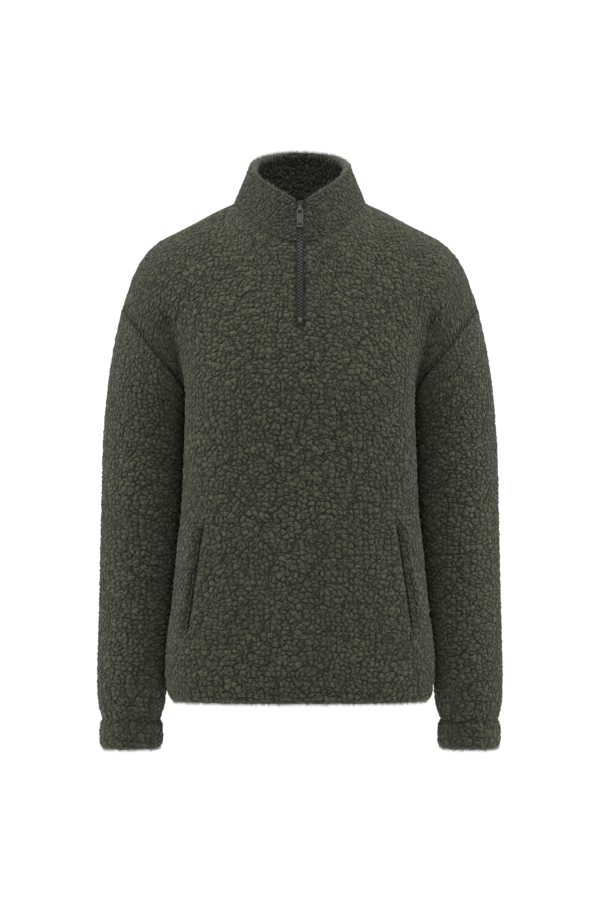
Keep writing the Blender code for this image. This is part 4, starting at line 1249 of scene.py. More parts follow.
def teeth_tree():
    """Geometry Nodes that set the zip's teeth along a curve, one side half a pitch past the other."""
    tree, given, result = geometry_group(
        "Zip Teeth",
        ("Pitch", "NodeSocketFloat", TOOTH_PITCH),
        ("Arm", "NodeSocketVector", TOOTH_ARM),
        ("Head Radius", "NodeSocketFloat", TOOTH_HEAD),
        ("Reach", "NodeSocketFloat", TOOTH_REACH),
        ("Metal", "NodeSocketMaterial"),
    )
    half_pitch = maths(tree, "DIVIDE", given["Pitch"], 2.0)
    spread = {"Curve": given["Geometry"], "Length": half_pitch}
    points = node(tree, "GeometryNodeCurveToPoints", spread, mode="LENGTH")
    aim = {"Vector": points.outputs["Tangent"]}
    turn = node(tree, "FunctionNodeAlignRotationToVector", aim, axis="Z", pivot_axis="X").outputs[0]
    index = node(tree, "GeometryNodeInputIndex").outputs[0]
    odd = maths(tree, "MODULO", index, 2.0)
    size = node(tree, "ShaderNodeSeparateXYZ", {0: given["Arm"]}).outputs
    arm = node(tree, "GeometryNodeMeshCube", {"Size": given["Arm"]}).outputs["Mesh"]
    inputs = {"Vertices": TOOTH_SIDES, "Radius": given["Head Radius"], "Depth": size[1]}
    head = node(tree, "GeometryNodeMeshCylinder", inputs).outputs["Mesh"]
    join = tree.nodes.new("GeometryNodeJoinGeometry")
    middle = maths(tree, "SUBTRACT", given["Reach"], maths(tree, "DIVIDE", size[0], 2.0))
    inner = maths(tree, "SUBTRACT", given["Reach"], size[0])
    for side, chosen in ((-1.0, odd), (1.0, maths(tree, "SUBTRACT", 1.0, odd))):
        tooth = tree.nodes.new("GeometryNodeJoinGeometry")
        for part, distance, lean in ((arm, middle, 0.0), (head, inner, math.pi / 2)):
            at = node(tree, "ShaderNodeCombineXYZ", {0: maths(tree, "MULTIPLY", distance, side)}).outputs[0]
            put = {"Geometry": part, "Translation": at, "Rotation": (lean, 0.0, 0.0)}
            tree.links.new(node(tree, "GeometryNodeTransform", put).outputs[0], tooth.inputs[0])
        put = {
            "Points": points.outputs["Points"],
            "Selection": chosen,
            "Instance": tooth.outputs[0],
            "Rotation": turn,
        }
        placed = node(tree, "GeometryNodeInstanceOnPoints", put)
        tree.links.new(placed.outputs[0], join.inputs[0])
    finish_group(tree, join.outputs[0], given["Metal"], result)
    return tree


def add_bump(tree, height, strength, distance, target):
    bump = node(tree, "ShaderNodeBump", {"Strength": strength, "Distance": distance, "Height": height})
    tree.links.new(bump.outputs[0], target)


def shared(kept, name, make):
    """A material or node group that is made once."""
    return kept.get(name) or make()


def pile_group():
    """The shader group of the pile: its colour and its bump, from the pattern of its lumps. Its colour
    carries painted shade in the grooves, painted light and shade by the lumps' height, and the painted shade
    and light of the shade mark.
    """
    inputs = (
        ("Colour", "NodeSocketColor", (*PILE_COLOUR, 1.0)),
        ("Lump Size", "NodeSocketFloat", LUMP_SIZE),
        ("Stretch", "NodeSocketVector", BODY_STRETCH),
        ("Groove", "NodeSocketFloat", GROOVE_SHADE),
        ("Relief", "NodeSocketFloat", PILE_BUMP),
    )
    outputs = (("Colour", "NodeSocketColor"), ("Normal", "NodeSocketVector"))
    tree, given, result = new_group("Sherpa Pile", "ShaderNodeTree", inputs, outputs)
    place = node(tree, "ShaderNodeUVMap", uv_map="cloth").outputs[0]
    edge, to_long, cell, at = lump_pattern(tree, place, given["Lump Size"], given["Stretch"])
    height = rounded_top(tree, edge, to_long)
    # Painted shade in the grooves between the lumps.
    open_cloth = maths(tree, "DIVIDE", edge, GROOVE_WIDTH, clamp=True)
    depth = maths(tree, "MULTIPLY", maths(tree, "SUBTRACT", 1.0, open_cloth), given["Groove"])
    tone = maths(tree, "SUBTRACT", 1.0, depth)
    own = node(tree, "ShaderNodeSeparateColor", {0: cell}).outputs[0]
    patch = noise(tree, at, PATCH_SCALE, detail=2.0).outputs[0]
    fuzz = noise(tree, at, *FUZZ_NOISE).outputs[0]
    # Painted light and shade by each lump's height, each lump's own tone, patches, fuzz, and the shade
    # mark's painted shade and light.
    for factor in (
        changed(tree, HEIGHT_SHADING[0], height, HEIGHT_SHADING[1]),
        changed(tree, 1.0, own, LUMP_TONE),
        changed(tree, 1.0, patch, PATCH_TONE),
        changed(tree, 1.0, fuzz, FUZZ_TONE),
        node(tree, "ShaderNodeAttribute", attribute_name="shade").outputs["Fac"],
    ):
        tone = maths(tree, "MULTIPLY", tone, factor)
    tree.links.new(scaled(tree, given["Colour"], tone), result["Colour"])
    form = maths(tree, "ADD", height, maths(tree, "MULTIPLY", fuzz, FUZZ_BUMP))
    add_bump(tree, form, 1.0, given["Relief"], result["Normal"])
    return tree


def new_material(name, colour, settings):
    material = bpy.data.materials.new(name)
    material.use_nodes = True
    material.diffuse_color = (*colour, 1.0)
    tree = material.node_tree
    surface = tree.nodes["Principled BSDF"]
    for label, value in {"Base Color": (*colour, 1.0), **settings}.items():
        surface.inputs[label].default_value = value
    return material, tree, surface


def group_material(name, colour, settings, group_name, make, values):
    """A material whose shader follows each output of a shared group with these values."""
    material, tree, surface = new_material(name, colour, settings)
    group = tree.nodes.new("ShaderNodeGroup")
    group.node_tree = shared(bpy.data.node_groups, group_name, make)
    for label, value in values.items():
        group.inputs[label].default_value = value
    for output in group.outputs:
        label = "Base Color" if output.name == "Colour" else output.name
        tree.links.new(output, surface.inputs[label])
    return material


def pile_material(name, stretch, share=1.0):
    """The pile of one kind of piece: a share of the colour, which is painted shade where it is below 1, and
    the size and shape of its lumps.
    """
    pile_settings = bpy.context.scene.sherpa_pile
    colour = [share * value for value in pile_settings.colour]
    values = {"Colour": (*colour, 1.0), "Lump Size": pile_settings.lump_size, "Stretch": stretch}
    return group_material(name, colour, PILE_SURFACE, "Sherpa Pile", pile_group, values)


def wave(tree, place, direction, settings):
    inputs = {"Vector": place, **settings}
    return node(tree, "ShaderNodeTexWave", inputs, bands_direction=direction).outputs["Fac"]


def knit_back_material():
    """The plain knit on the inner side of the cloth: rows of small loops, with painted shade in their low
    places.
    """
    material, tree, surface = new_material("knit_back", KNIT_COLOUR, KNIT_SURFACE)
    place = node(tree, "ShaderNodeUVMap", uv_map="cloth").outputs[0]
    height = maths(tree, "MULTIPLY", wave(tree, place, "Y", KNIT_ROWS), wave(tree, place, "X", KNIT_LOOPS))
    tree.links.new(darker_mix(tree, height, KNIT_HOLLOW_SHADE, KNIT_COLOUR), surface.inputs["Base Color"])
    add_bump(tree, height, *KNIT_BUMP, surface.inputs["Normal"])
    return material


def tape_material():
    """Woven zip tape: fine slanted ribs across and down, with painted shade between them."""
    material, tree, surface = new_material("zip_tape", TAPE_COLOUR, TAPE_SURFACE)
    place = node(tree, "ShaderNodeTexCoord").outputs["Object"]
    turned = node(tree, "ShaderNodeMapping", {"Vector": place, "Rotation": TAPE_TURN}).outputs[0]
    weave = maths(tree, "MULTIPLY", wave(tree, turned, "X", TAPE_ACROSS), wave(tree, turned, "Z", TAPE_DOWN))
    tree.links.new(darker_mix(tree, weave, TAPE_HOLLOW_SHADE, TAPE_COLOUR), surface.inputs["Base Color"])
    add_bump(tree, weave, *TAPE_BUMP, surface.inputs["Normal"])
    return material


def worn_group():
    """The shader group of worn metal: a colour that clouds over, and an uneven roughness."""
    inputs = (
        ("Metal", "NodeSocketColor", (*BRIGHT_METAL[0], 1.0)),
        ("Dulled", "NodeSocketColor", (*BRIGHT_METAL[1], 1.0)),
        ("Cloud Size", "NodeSocketFloat", CLOUD_SIZE),
    )
    outputs = (
        ("Colour", "NodeSocketColor"),
        ("Roughness", "NodeSocketFloat"),
        ("Normal", "NodeSocketVector"),
    )
    tree, given, result = new_group("Worn Metal", "ShaderNodeTree", inputs, outputs)
    place = node(tree, "ShaderNodeTexCoord").outputs["Object"]
    at = scaled(tree, place, maths(tree, "DIVIDE", 1.0, given["Cloud Size"]))
    cloud = noise(tree, at, *CLOUD_NOISE, dimensions="3D").outputs[0]
    wear = noise(tree, at, *WEAR_NOISE, dimensions="3D").outputs[0]
    tree.links.new(mix_colours(tree, cloud, given["Dulled"], given["Metal"]), result["Colour"])
    tree.links.new(changed(tree, WORN_ROUGHNESS[0], wear, WORN_ROUGHNESS[1]), result["Roughness"])
    add_bump(tree, wear, *WORN_BUMP, result["Normal"])
    return tree


def metal_material(name, colour, dulled):
    values = {"Metal": (*colour, 1.0), "Dulled": (*dulled, 1.0)}
    return group_material(name, colour, METAL_SURFACE, "Worn Metal", worn_group, values)


def fibre_material():
    # Lighter than the pile as painted light, for light shining through the fibres; darker in random clouds.
    material, tree, surface = new_material("pile_fibre", FIBRE_COLOUR, FIBRE_SURFACE)
    place = node(tree, "ShaderNodeTexCoord").outputs["Object"]
    cloud = noise(tree, place, FIBRE_CLOUDS, detail=1.0, dimensions="3D").outputs[0]
    tree.links.new(darker_mix(tree, cloud, FIBRE_DARK, FIBRE_COLOUR), surface.inputs["Base Color"])
    return material


def add_nodes(obj, name, make, values):
    """Puts shared Geometry Nodes on an object with the values of their inputs."""
    modifier = obj.modifiers.new(name, "NODES")
    modifier.node_group = shared(bpy.data.node_groups, name, make)
    set_inputs(modifier, values)


def dressed(obj, pile, stretch, depth_share=1.0):
    """Raises the pile's lumps on a cloth piece, and leaves it a plain mesh."""
    pile_settings = bpy.context.scene.sherpa_pile
    values = {
        "Lump Size": pile_settings.lump_size,
        "Stretch": stretch,
        "Depth": pile_settings.depth * depth_share,
        "Unevenness": pile_settings.unevenness * depth_share,
        "Pile": pile,
        "Knit": shared(bpy.data.materials, "knit_back", knit_back_material),
    }
    add_nodes(obj, "Sherpa Relief", relief_tree, values)
    return plain_copy(obj)


def add_fibres(obj, seed, drop):
    """A separate piece with the loose fibres of a cloth piece, thick along its raw edges."""
    pile_settings = bpy.context.scene.sherpa_pile
    fibres = add_object("fibres_" + obj.name, obj.data.copy())
    values = {
        "Fibres per Square Metre": pile_settings.fibre_count,
        "Length": pile_settings.fibre_length,
        "Drop": drop,
        "Seed": seed,
        "Fibre": shared(bpy.data.materials, "pile_fibre", fibre_material),
    }
    add_nodes(fibres, "Pile Fibres", fibre_tree, values)
    plain_copy(fibres)
    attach(fibres, "garment")
    return fibres


def settle(obj, cad_node, with_pieces=()):
    """Puts a finished cloth piece in its solid's place, with its fuzz."""
    pieces = list(with_pieces)
    if cad_node in FIBRES:
        pieces.append(add_fibres(obj, *FIBRES[cad_node]))
    for name in MARKS:
        obj.data.attributes.remove(obj.data.attributes[name])
    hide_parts(cad_node)
    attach(obj, "garment")


def cloth_marks(through, edge, fringe, shade, pile_share=1.0):
    """What a piece keeps at its points: directions, how much pile and fuzz it has, and its shade, which is
    painted shade and, along the collar's rim, painted light.
    """
    pile = smooth_step(edge / PILE_EDGE) * pile_share
    return {"through": through, "pile": pile, "fringe": fringe, "shade": shade}


# Painted shade: darker along hard seams and edges, and a little along soft ones.
def painted_seam_shade(hard_edge, edge):
    return (1 - dip(SEAM_SHADE, hard_edge)) * (1 - dip(SOFT_SEAM_SHADE, edge))


def panel_grid(facing):
    """A whole panel as a fine grid: its points, through-wall directions, and each coarse row's place."""
    half, normal = panel_halves()[0 if facing < 0 else 1]
    half = half.copy()
    rows = len(FRONT_ROWS if facing < 0 else BACK_ROWS)
    neck = neck_column(half)
    half[:rows, -1, 1] += facing * SEAM_GAP / 2
    half[-1, neck:, 1] += facing * SEAM_GAP / 2
    values = np.concatenate([half, normal], axis=-1)
    flip = np.tile(MIRROR, 2)
    if facing < 0:
        whole = np.concatenate([values[:, ::-1] * flip, values], axis=1)
    else:
        whole = np.concatenate([values[:, :0:-1], values * flip], axis=1)
    last = len(half[0]) - 1
    corner = np.zeros(whole.shape[:2])
    corner[rows - 1, [0, -1]] = 1.0
    counts = step_counts(whole)
    fine = refine(whole, counts, corner)
    starts = np.concatenate([[0], np.cumsum(counts)])
    up = (np.arange(len(fine)) - starts[rows - 1]) / (starts[-1] - starts[rows - 1])
    corner = np.zeros((whole.shape[1], len(fine)))
    neck_columns = (last - neck, whole.shape[1] - 1 - (last - neck))
    for column in neck_columns:
        corner[column] = smooth_step((up - NECK_CORNER_FROM) / (1 - NECK_CORNER_FROM))
    turned = fine.swapaxes(0, 1)
    column_counts = step_counts(turned)
    fine = refine(turned, column_counts, corner).swapaxes(0, 1)
    column_starts = np.concatenate([[0], np.cumsum(column_counts)])
    neck_ends = [column_starts[column] for column in neck_columns]
    points, through = fine[..., :3], unit(fine[..., 3:])
    return press_in(points, facing), through, starts, column_starts, neck_ends


def make_panel(facing):
    """The front or the back: its grid drawn in at the seams, folded, and closed as a wall of cloth."""
    name = "front" if facing < 0 else "back"
    points, through, starts, column_starts, neck_ends = panel_grid(facing)
    rows = len(FRONT_ROWS if facing < 0 else BACK_ROWS)
    underarm = starts[rows - 1]
    across, up = run_lengths(points, 1), run_lengths(points, 0)
    to_side = np.minimum(across, across[:, -1:] - across)
    to_top = up[-1:] - up
    number = np.arange(points.shape[1])
    at_neck = (number >= neck_ends[0]) & (number <= neck_ends[1])
    is_upper = np.arange(len(points))[:, None] >= underarm
    sink = np.where(is_upper, dip(ARMHOLE_SEAM, to_side), dip(SIDE_SEAM, to_side))
    sink += np.where(at_neck, dip(COLLAR_SEAM, to_top), dip(SHOULDER_SEAM, to_top))
    stitched = is_upper * bell(to_side - STITCH_LINE, STITCH_SPREAD)
    edge = np.minimum(to_side, to_top)
    hard_edge = np.minimum(to_side, np.where(at_neck, np.inf, to_top))
    kept = None
    if facing < 0:
        slit = len(FRONT_SHARES) - 1
        bottom = starts[rows - 1 + SLIT_BOTTOM_STEP]
        left, right = column_starts[slit], column_starts[slit + 1]
        to_left, to_right = across[:, left : left + 1] - across, across - across[:, right : right + 1]
        beside = np.where(number < (left + right) / 2, to_left, to_right)
        below = np.maximum(up[bottom] - up, 0.0)
        to_slit = np.hypot(np.maximum(beside, 0.0), below)
        sink += dip(SLIT_EDGE, to_slit)
        edge = np.minimum(edge, to_slit)
        hard_edge = np.minimum(hard_edge, to_slit)
        kept = np.ones(((len(points) - 1) // FINE, (points.shape[1] - 1) // FINE), bool)
        kept[bottom // FINE :, left // FINE : right // FINE] = False
    points = folded(points - (sink + STITCH_DEPTH * stitched)[..., None] * through, through)
    points[..., 2] += FUZZ_LIFT * bell(np.maximum(up - HEM_RUN, 0.0), LIFT_REACH)
    middle = points.shape[1] // 2
    place = np.stack([across - across[:, middle : middle + 1], up], axis=-1) * MM
    place += np.array(PATTERN_START[name])
    # Painted shade along the stitched line, the seams and edges, and behind the pocket lips.
    shade = (1 - STITCH_SHADE * stitched) * painted_seam_shade(hard_edge, edge)
    if facing < 0:
        past = abs(points[..., 0]) - pocket_lip_x(points[..., 2])
        shade *= 1 - pocket_strength(points[..., 2]) * dip(LIP_SHADE, past - LIP_SHADE_PAST)
    marks = cloth_marks(through, edge, bell(up - HEM_RUN, HEM_REACH), shade)
    inner = (points - WALL * through)[::FINE, ::FINE]
    return cloth_shell(name + "_pile", points, inner, place, marks, kept)


def tube_grid(rows, side, plane_top, plane_foot, gap):
    """A sleeve or cuff as a fine grid of rings from its foot up, and its through-wall directions."""
    rings = tube_rings(rows)
    rings[0] += gap
    rings = rings[::-1] * np.array([side, 1.0, 1.0])
    if side < 0:
        rings = rings[:, ::-1]
    normal = normals_of(rings, around=True)
    normal[-1] = flattened(normal[-1], plane_top)
    if plane_foot is not None:
        normal[0] = flattened(normal[0], plane_foot)
    values = np.concatenate([rings, normal], axis=-1)
    fine = refine(values, step_counts(values))
    padded = np.concatenate([fine[:, -3:], fine, fine[:, :4]], axis=1).swapaxes(0, 1)
    counts = step_counts(padded)
    fine = refine(padded, counts).swapaxes(0, 1)
    fine = fine[:, sum(counts[:3]) : sum(counts[:-3])]
    return fine[..., :3], unit(fine[..., 3:])


def gathers(points, side, distance):
    """How far the gathers beside a cuff's seam draw the cloth in."""
    middle = points.mean(axis=1, keepdims=True)
    angle = np.arctan2(points[..., 1] - middle[..., 1], side * (points[..., 0] - middle[..., 0]))
    depth = np.zeros(angle.shape)
    for waves, deep, turn in zip(*GATHERS.values()):
        depth += deep * (1 + np.sin(waves * angle + turn * side))
    return depth * bell(distance, GATHER_REACH)


def make_tube(name, side):
    """A sleeve or a cuff at one side, drawn in at its seams, folded, and closed as a wall of cloth."""
    is_sleeve = name.startswith("sleeve")
    top_plane = np.array([side, 1.0, 1.0]) * armhole_normal() if is_sleeve else UP
    foot_plane = UP if is_sleeve else None
    gap = SEAM_GAP * armhole_normal() if is_sleeve else 0.0
    points, through = tube_grid(SLEEVE if is_sleeve else CUFF, side, top_plane, foot_plane, gap)
    closed = np.concatenate([points, points[:, :1]], axis=1)
    across, up = run_lengths(closed, 1), run_lengths(points, 0)
    to_side = np.minimum(across, across[:, -1:] - across)[:, :-1]
    to_top = up[-1:] - up
    sink = dip(SIDE_SEAM, to_side) + dip(ARMHOLE_SEAM if is_sleeve else CUFF_SEAM, to_top)
    to_cuff = up if is_sleeve else to_top
    sink += gathers(points, side, to_cuff)
    if is_sleeve:
        sink += dip(CUFF_SEAM, up)
    edge = np.minimum(to_side, to_top)
    hard_edge = edge if is_sleeve else to_side
    edge = np.minimum(edge, up) if is_sleeve else edge
    points = folded(points - sink[..., None] * through, through)
    if not is_sleeve:
        points[..., 2] += FUZZ_LIFT * bell(np.maximum(up - CUFF_RUN, 0.0), LIFT_REACH)
    middle = points.shape[1] // 2
    beside = across - across[:, middle : middle + 1]
    place = np.stack([beside, np.column_stack([up, up[:, :1]])], axis=-1)
    place = place * MM + np.array(PATTERN_START["left" if side < 0 else "right"])
    fringe = np.zeros(up.shape) if is_sleeve else bell(up - CUFF_RUN, HEM_REACH)
    # Painted shade along the seams.
    marks = cloth_marks(through, edge, fringe, painted_seam_shade(hard_edge, edge))
    inner = (points - WALL * through)[::FINE, ::FINE]
    return cloth_shell(name + "_pile", points, inner, place, marks, around=True)


def make_collar_band():
    """The collar, double cloth with a round rim, closed at its foot and at the zip."""
    front, back = panel_halves()
    rings = collar_rings(front, back)
    fine = refine(rings, step_counts(rings)).swapaxes(0, 1)
    points = refine(fine, step_counts(fine)).swapaxes(0, 1)
    through = -normals_of(points)
    run, around = run_lengths(points, 1), run_lengths(points, 0)
    total = run[:, -1:]
    to_foot = np.minimum(run, total - run)
    to_end = np.minimum(around, around[-1:] - around)
    to_rim = abs(run - total / 2)
    rim = bell(to_rim, RIM_SPREAD)
    swell = bell(run - total / 2 - SWELL_RUN, SWELL_SPREAD) * smooth_step(to_end / SWELL_FADE)
    sink = dip(COLLAR_SEAM, run) + dip(COLLAR_END, to_end) - SWELL * swell
    to_back = smooth_step((points[..., 1] - RIM_FUZZ_FROM) / RIM_FUZZ_FADE)
    fuzzy = rim * (RIM_FUZZ_FRONT + (1 - RIM_FUZZ_FRONT) * to_back)
    points = points - sink[..., None] * through
    points[..., 2] -= FUZZ_LIFT * fuzzy
    edge = np.minimum(to_foot, to_end)
    middle = len(points) // 2
    place = np.stack([around - around[middle : middle + 1], run], axis=-1)
    place = np.concatenate([place, place[:, :1]], axis=1) * MM + np.array(PATTERN_START["collar"])
    # Painted highlight along the rim, painted shade at the edges and in the lining.
    lining = smooth_step((run - total / 2) / RIM_SPREAD)
    shade = (1 - dip(SOFT_SEAM_SHADE, edge)) * (1 + RIM_HIGHLIGHT * rim) * (1 - LINING_SHADE * lining)
    marks = cloth_marks(through, edge, fuzzy, shade, 1 - RIM_PRESS * rim)
    rows, columns = points.shape[:2]
    row, column = (grid.ravel() for grid in np.mgrid[0 : rows - 1, 0:columns])
    corners = [(row, column), (row + 1, column), (row + 1, column + 1), (row, column + 1)]
    faces = np.stack([r * columns + c % columns for r, c in corners], axis=1).tolist()
    places = list(np.stack([place[corner] for corner in corners], axis=1).reshape(-1, 2))
    ends = np.arange(columns)
    faces += [ends.tolist(), ((rows - 1) * columns + ends[::-1]).tolist()]
    places += list(place[0, :columns]) + list(place[-1, :columns][::-1])
    kept_marks = {}
    for mark, values in with_place(marks, place[:, :columns]).items():
        kept_marks[mark] = values.reshape(rows * columns, -1)
    is_inner = np.zeros(len(faces), bool)
    return cloth_mesh("collar_pile", points.reshape(-1, 3), faces, places, kept_marks, is_inner)


def make_facing(name, side):
    """The strip of cloth that shows in a pocket's mouth, lying on the panel behind the lip."""
    points, through = panel_grid(-1.0)[:2]
    points = folded(points, through)
    if side < 0:
        points, through = points[:, ::-1] * MIRROR, through[:, ::-1] * MIRROR
    middle = points.shape[1] // 2
    heights = points[:, middle, 2]
    rows = np.nonzero((heights > FACING_FOOT) & (heights < FACING_TOP))[0]
    rows = rows[: (len(rows) - 1) // FINE * FINE + 1]
    pasts = np.linspace(FACING["past"][0], FACING["past"][-1], 2 * FINE + 1)
    base, out = [], []
    for row in rows:
        part = slice(middle, middle + int(np.argmax(points[row, middle:, 0])) + 1)
        past = points[row, part, 0] - pocket_lip_x(points[row, part, 2])
        for grid, found in ((points, base), (through, out)):
            found.append(np.stack([np.interp(pasts, past, values) for values in grid[row, part].T], axis=-1))
    base, out = np.array(base), unit(np.array(out))
    up = run_lengths(base, 0)
    to_end = smooth_step(np.minimum(up, up[-1:] - up) / FACING_END)
    wall = np.interp(pasts, FACING["past"], FACING["wall"])
    wall = wall * (FACING_END_WALL + (1 - FACING_END_WALL) * to_end)
    inner = base + FACING_LIFT * out
    outer = inner + wall[..., None] * out
    if side < 0:
        outer, inner, out = (grid[:, ::-1] * MIRROR for grid in (outer, inner, out))
    place = np.stack([np.broadcast_to(pasts, up.shape), up], axis=-1) * MM
    place += np.array(PATTERN_START["facing"])
    edge = np.broadcast_to(np.minimum(pasts - pasts[0], pasts[-1] - pasts), up.shape)
    # The strip gets painted shade all over.
    marks = cloth_marks(out, edge, np.zeros(up.shape), np.full(up.shape, FACING_SHADE))
    return cloth_shell(name + "_pile", outer, inner[::FINE, ::FINE], place, marks)


def rounded_outline(width, height, middle_z, corner, foot_width=None):
    """A rectangle with round corners, or one that narrows to its foot, as points across and up."""
    points = []
    for turn, (sign_x, sign_z) in enumerate(((1, 1), (-1, 1), (-1, -1), (1, -1))):
        wide = foot_width if foot_width and sign_z < 0 else width
        centre_x, centre_z = sign_x * (wide / 2 - corner), middle_z + sign_z * (height / 2 - corner)
        for bend in np.linspace(turn, turn + 1, BEND_STEPS + 1) * math.pi / 2:
            points.append((centre_x + corner * math.cos(bend), centre_z + corner * math.sin(bend)))
    return points


def add_spline(path, points, closed=False):
    spline = path.splines.new("POLY")
    spline.points.add(len(points) - 1)
    for point, at in zip(spline.points, points):
        point.co = (*(value * MM for value in at), 1.0)
    spline.use_cyclic_u = closed


def plate(outlines, wall, edge, depth, place):
    """A flat plate with holes and round edges, standing up in a frame at a depth, as a plain mesh."""
    flat = bpy.data.curves.new("plate", "CURVE")
    flat.dimensions = "2D"
    flat.fill_mode = "BOTH"
    flat.extrude = (wall / 2 - edge) * MM
    flat.bevel_depth = edge * MM
    flat.bevel_resolution = PLATE_BEVEL_STEPS
    flat.offset = -edge * MM
    for outline in outlines:
        add_spline(flat, [(x, z, 0.0) for x, z in outline], closed=True)
    stand = Matrix.Translation((0.0, depth * MM, 0.0)) @ Matrix.Rotation(math.pi / 2, 4, "X")
    return plain_mesh_object(linked("plate", flat), place @ stand)


def wire(points, radius, place):
    """A round wire through points in a frame, as a plain mesh."""
    path = bpy.data.curves.new("wire", "CURVE")
    path.dimensions = "3D"
    path.bevel_depth = radius * MM
    path.bevel_resolution = WIRE_BEVEL_STEPS
    path.use_fill_caps = True
    add_spline(path, points)
    return plain_mesh_object(linked("wire", path), place)


def make_slider_body(place, metal):
    """The slider: a front and a back plate, narrower at the foot, on a waist between them."""
    top = SLIDER_TOP - PIVOT_Z
    middle_z = top - SLIDER_HEIGHT / 2
    shield = rounded_outline(SLIDER_TOP_WIDTH, SLIDER_HEIGHT, middle_z, SLIDER_CORNER, SLIDER_FOOT_WIDTH)
    waist = rounded_outline(SLIDER_WAIST, SLIDER_HEIGHT - WAIST_SHORTER, middle_z, WAIST_CORNER)
    ridge = rounded_outline(SLIDER_WAIST, SLIDER_HEIGHT - RIDGE_SHORTER, middle_z, RIDGE_CORNER)
    half_plate = SLIDER_PLATE / 2
    waist_wall = SLIDER_BACK - SLIDER_FRONT - SLIDER_PLATE
    parts = [
        plate([shield], SLIDER_PLATE, SLIDER_EDGE, SLIDER_FRONT + half_plate, place),
        plate([shield], SLIDER_PLATE, SLIDER_EDGE, SLIDER_BACK - half_plate, place),
        plate([waist], waist_wall, WAIST_EDGE, (SLIDER_BACK + SLIDER_FRONT) / 2, place),
        plate([ridge], RIDGE_WALL, RIDGE_EDGE, SLIDER_FRONT, place),
    ]
    return joined("zip_slider_body", parts, metal)


def make_bail(place, metal):
    """The loop on the slider's front that carries the pull tab."""
    root = SLIDER_FRONT + BAIL_ROOT
    turns = np.linspace(0.0, math.pi / 2, BEND_STEPS + 1)
    near, far = BAIL_BEND * (1 - np.sin(turns)), BAIL_BEND * (1 - np.cos(turns))
    path = [(0.0, root, BAIL_ABOVE)]
    path += [(0.0, out - BAIL_OUT, BAIL_ABOVE - along_z) for out, along_z in zip(near, far)]
    path += [(0.0, out - BAIL_OUT, up - BAIL_BELOW) for out, up in zip(far, near)]
    path.append((0.0, root, -BAIL_BELOW))
    return joined("zip_bail", [wire(path, BAIL_WIRE, place)], metal)


def make_pull(place, metal):
    """The pull tab: a thin plate with a raised border, a slot for the bail and a hole at its foot."""
    middle_z = TAB_BAR - TAB_LENGTH / 2
    outline = rounded_outline(TAB_WIDTH, TAB_LENGTH, middle_z, TAB_CORNER)
    inset = 2 * TAB_BORDER
    inner = rounded_outline(TAB_WIDTH - inset, TAB_LENGTH - inset, middle_z, TAB_CORNER - TAB_BORDER / 2)
    slot = rounded_outline(*TAB_SLOT, -TAB_BAR - TAB_SLOT[1] / 2, TAB_HOLE_CORNER)
    hole_z = TAB_BAR - TAB_LENGTH + TAB_HOLE_MARGIN + TAB_HOLE[1] / 2
    hole = rounded_outline(*TAB_HOLE, hole_z, TAB_HOLE_CORNER)
    tooth = rounded_outline(*TAB_TOOTH, hole_z - (TAB_HOLE[1] - TAB_TOOTH[1]) / 2, TAB_TOOTH_CORNER)
    parts = [
        plate([outline, slot, hole], TAB_PLATE, TAB_EDGE, -PIVOT_OUT, place),
        plate([outline, inner], TAB_WALL, TAB_EDGE, -PIVOT_OUT, place),
        plate([tooth], TAB_PLATE, TAB_EDGE, -PIVOT_OUT, place),
    ]
    return joined("zip_pull_tab", parts, metal)


def make_teeth(line, metal):
    """Both rows of the zip's teeth along the centre line, from the stop up to the slider."""
    path = bpy.data.curves.new("zip_teeth", "CURVE")
    path.dimensions = "3D"
    heights = np.linspace(STOP_TOP, CHAIN_TOP, CHAIN_POINTS)
    add_spline(path, [zip_point(line, z, CHAIN_DEPTH) for z in heights])
    chain = linked("zip_chain_path", path)
    add_nodes(chain, "Zip Teeth", teeth_tree, {"Pitch": bpy.context.scene.sherpa_zip.pitch, "Metal": metal})
    mesh = evaluated_mesh(chain)
    bpy.data.objects.remove(chain, do_unlink=True)
    mesh.shade_flat()
    return linked("zip_teeth", mesh)


class SherpaPileSettings(bpy.types.PropertyGroup):
    lump_size: bpy.props.FloatProperty(
        name="Lump Size", description="Width of the pile's lumps", default=LUMP_SIZE, unit="LENGTH"
    )
    depth: bpy.props.FloatProperty(
        name="Groove Depth",
        description="Depth of the grooves between lumps",
        default=LUMP_DEPTH,
        unit="LENGTH",
    )
    unevenness: bpy.props.FloatProperty(
        name="Unevenness",
        description="How much lumps differ in height",
        default=LUMP_UNEVENNESS,
        unit="LENGTH",
    )
    colour: bpy.props.FloatVectorProperty(
        name="Colour", description="Colour of the pile", default=PILE_COLOUR, subtype="COLOR"
    )
    fibre_length: bpy.props.FloatProperty(
        name="Fibre Length", description="Length of a loose fibre", default=FIBRE_LENGTH, unit="LENGTH"
    )
    fibre_count: bpy.props.FloatProperty(
        name="Fibres per Square Metre", description="Loose fibres along the raw edges", default=FIBRE_COUNT
    )


class SherpaZipSettings(bpy.types.PropertyGroup):
    pitch: bpy.props.FloatProperty(
        name="Pitch", description="Distance between teeth of one row", default=TOOTH_PITCH, unit="LENGTH"
    )
    colour: bpy.props.FloatVectorProperty(
        name="Metal", description="Colour of the pull tab", default=TAB_METAL, subtype="COLOR"
    )


class SherpaStageSettings(bpy.types.PropertyGroup):
    brightness: bpy.props.FloatProperty(
        name="Surroundings", description="Brightness of the white surroundings", default=1.05
    )
    key_power: bpy.props.FloatProperty(name="Top Light", description="Power of the top light", default=85.0)
    side_power: bpy.props.FloatProperty(
        name="Side Lights", description="Power of each side light", default=58.0
    )
    back_power: bpy.props.FloatProperty(
        name="Back Light", description="Power of the light behind", default=95.0
    )
    floor_drop: bpy.props.FloatProperty(
        name="Floor Drop", description="How far the floor lies below the neck", default=1.45, unit="LENGTH"
    )


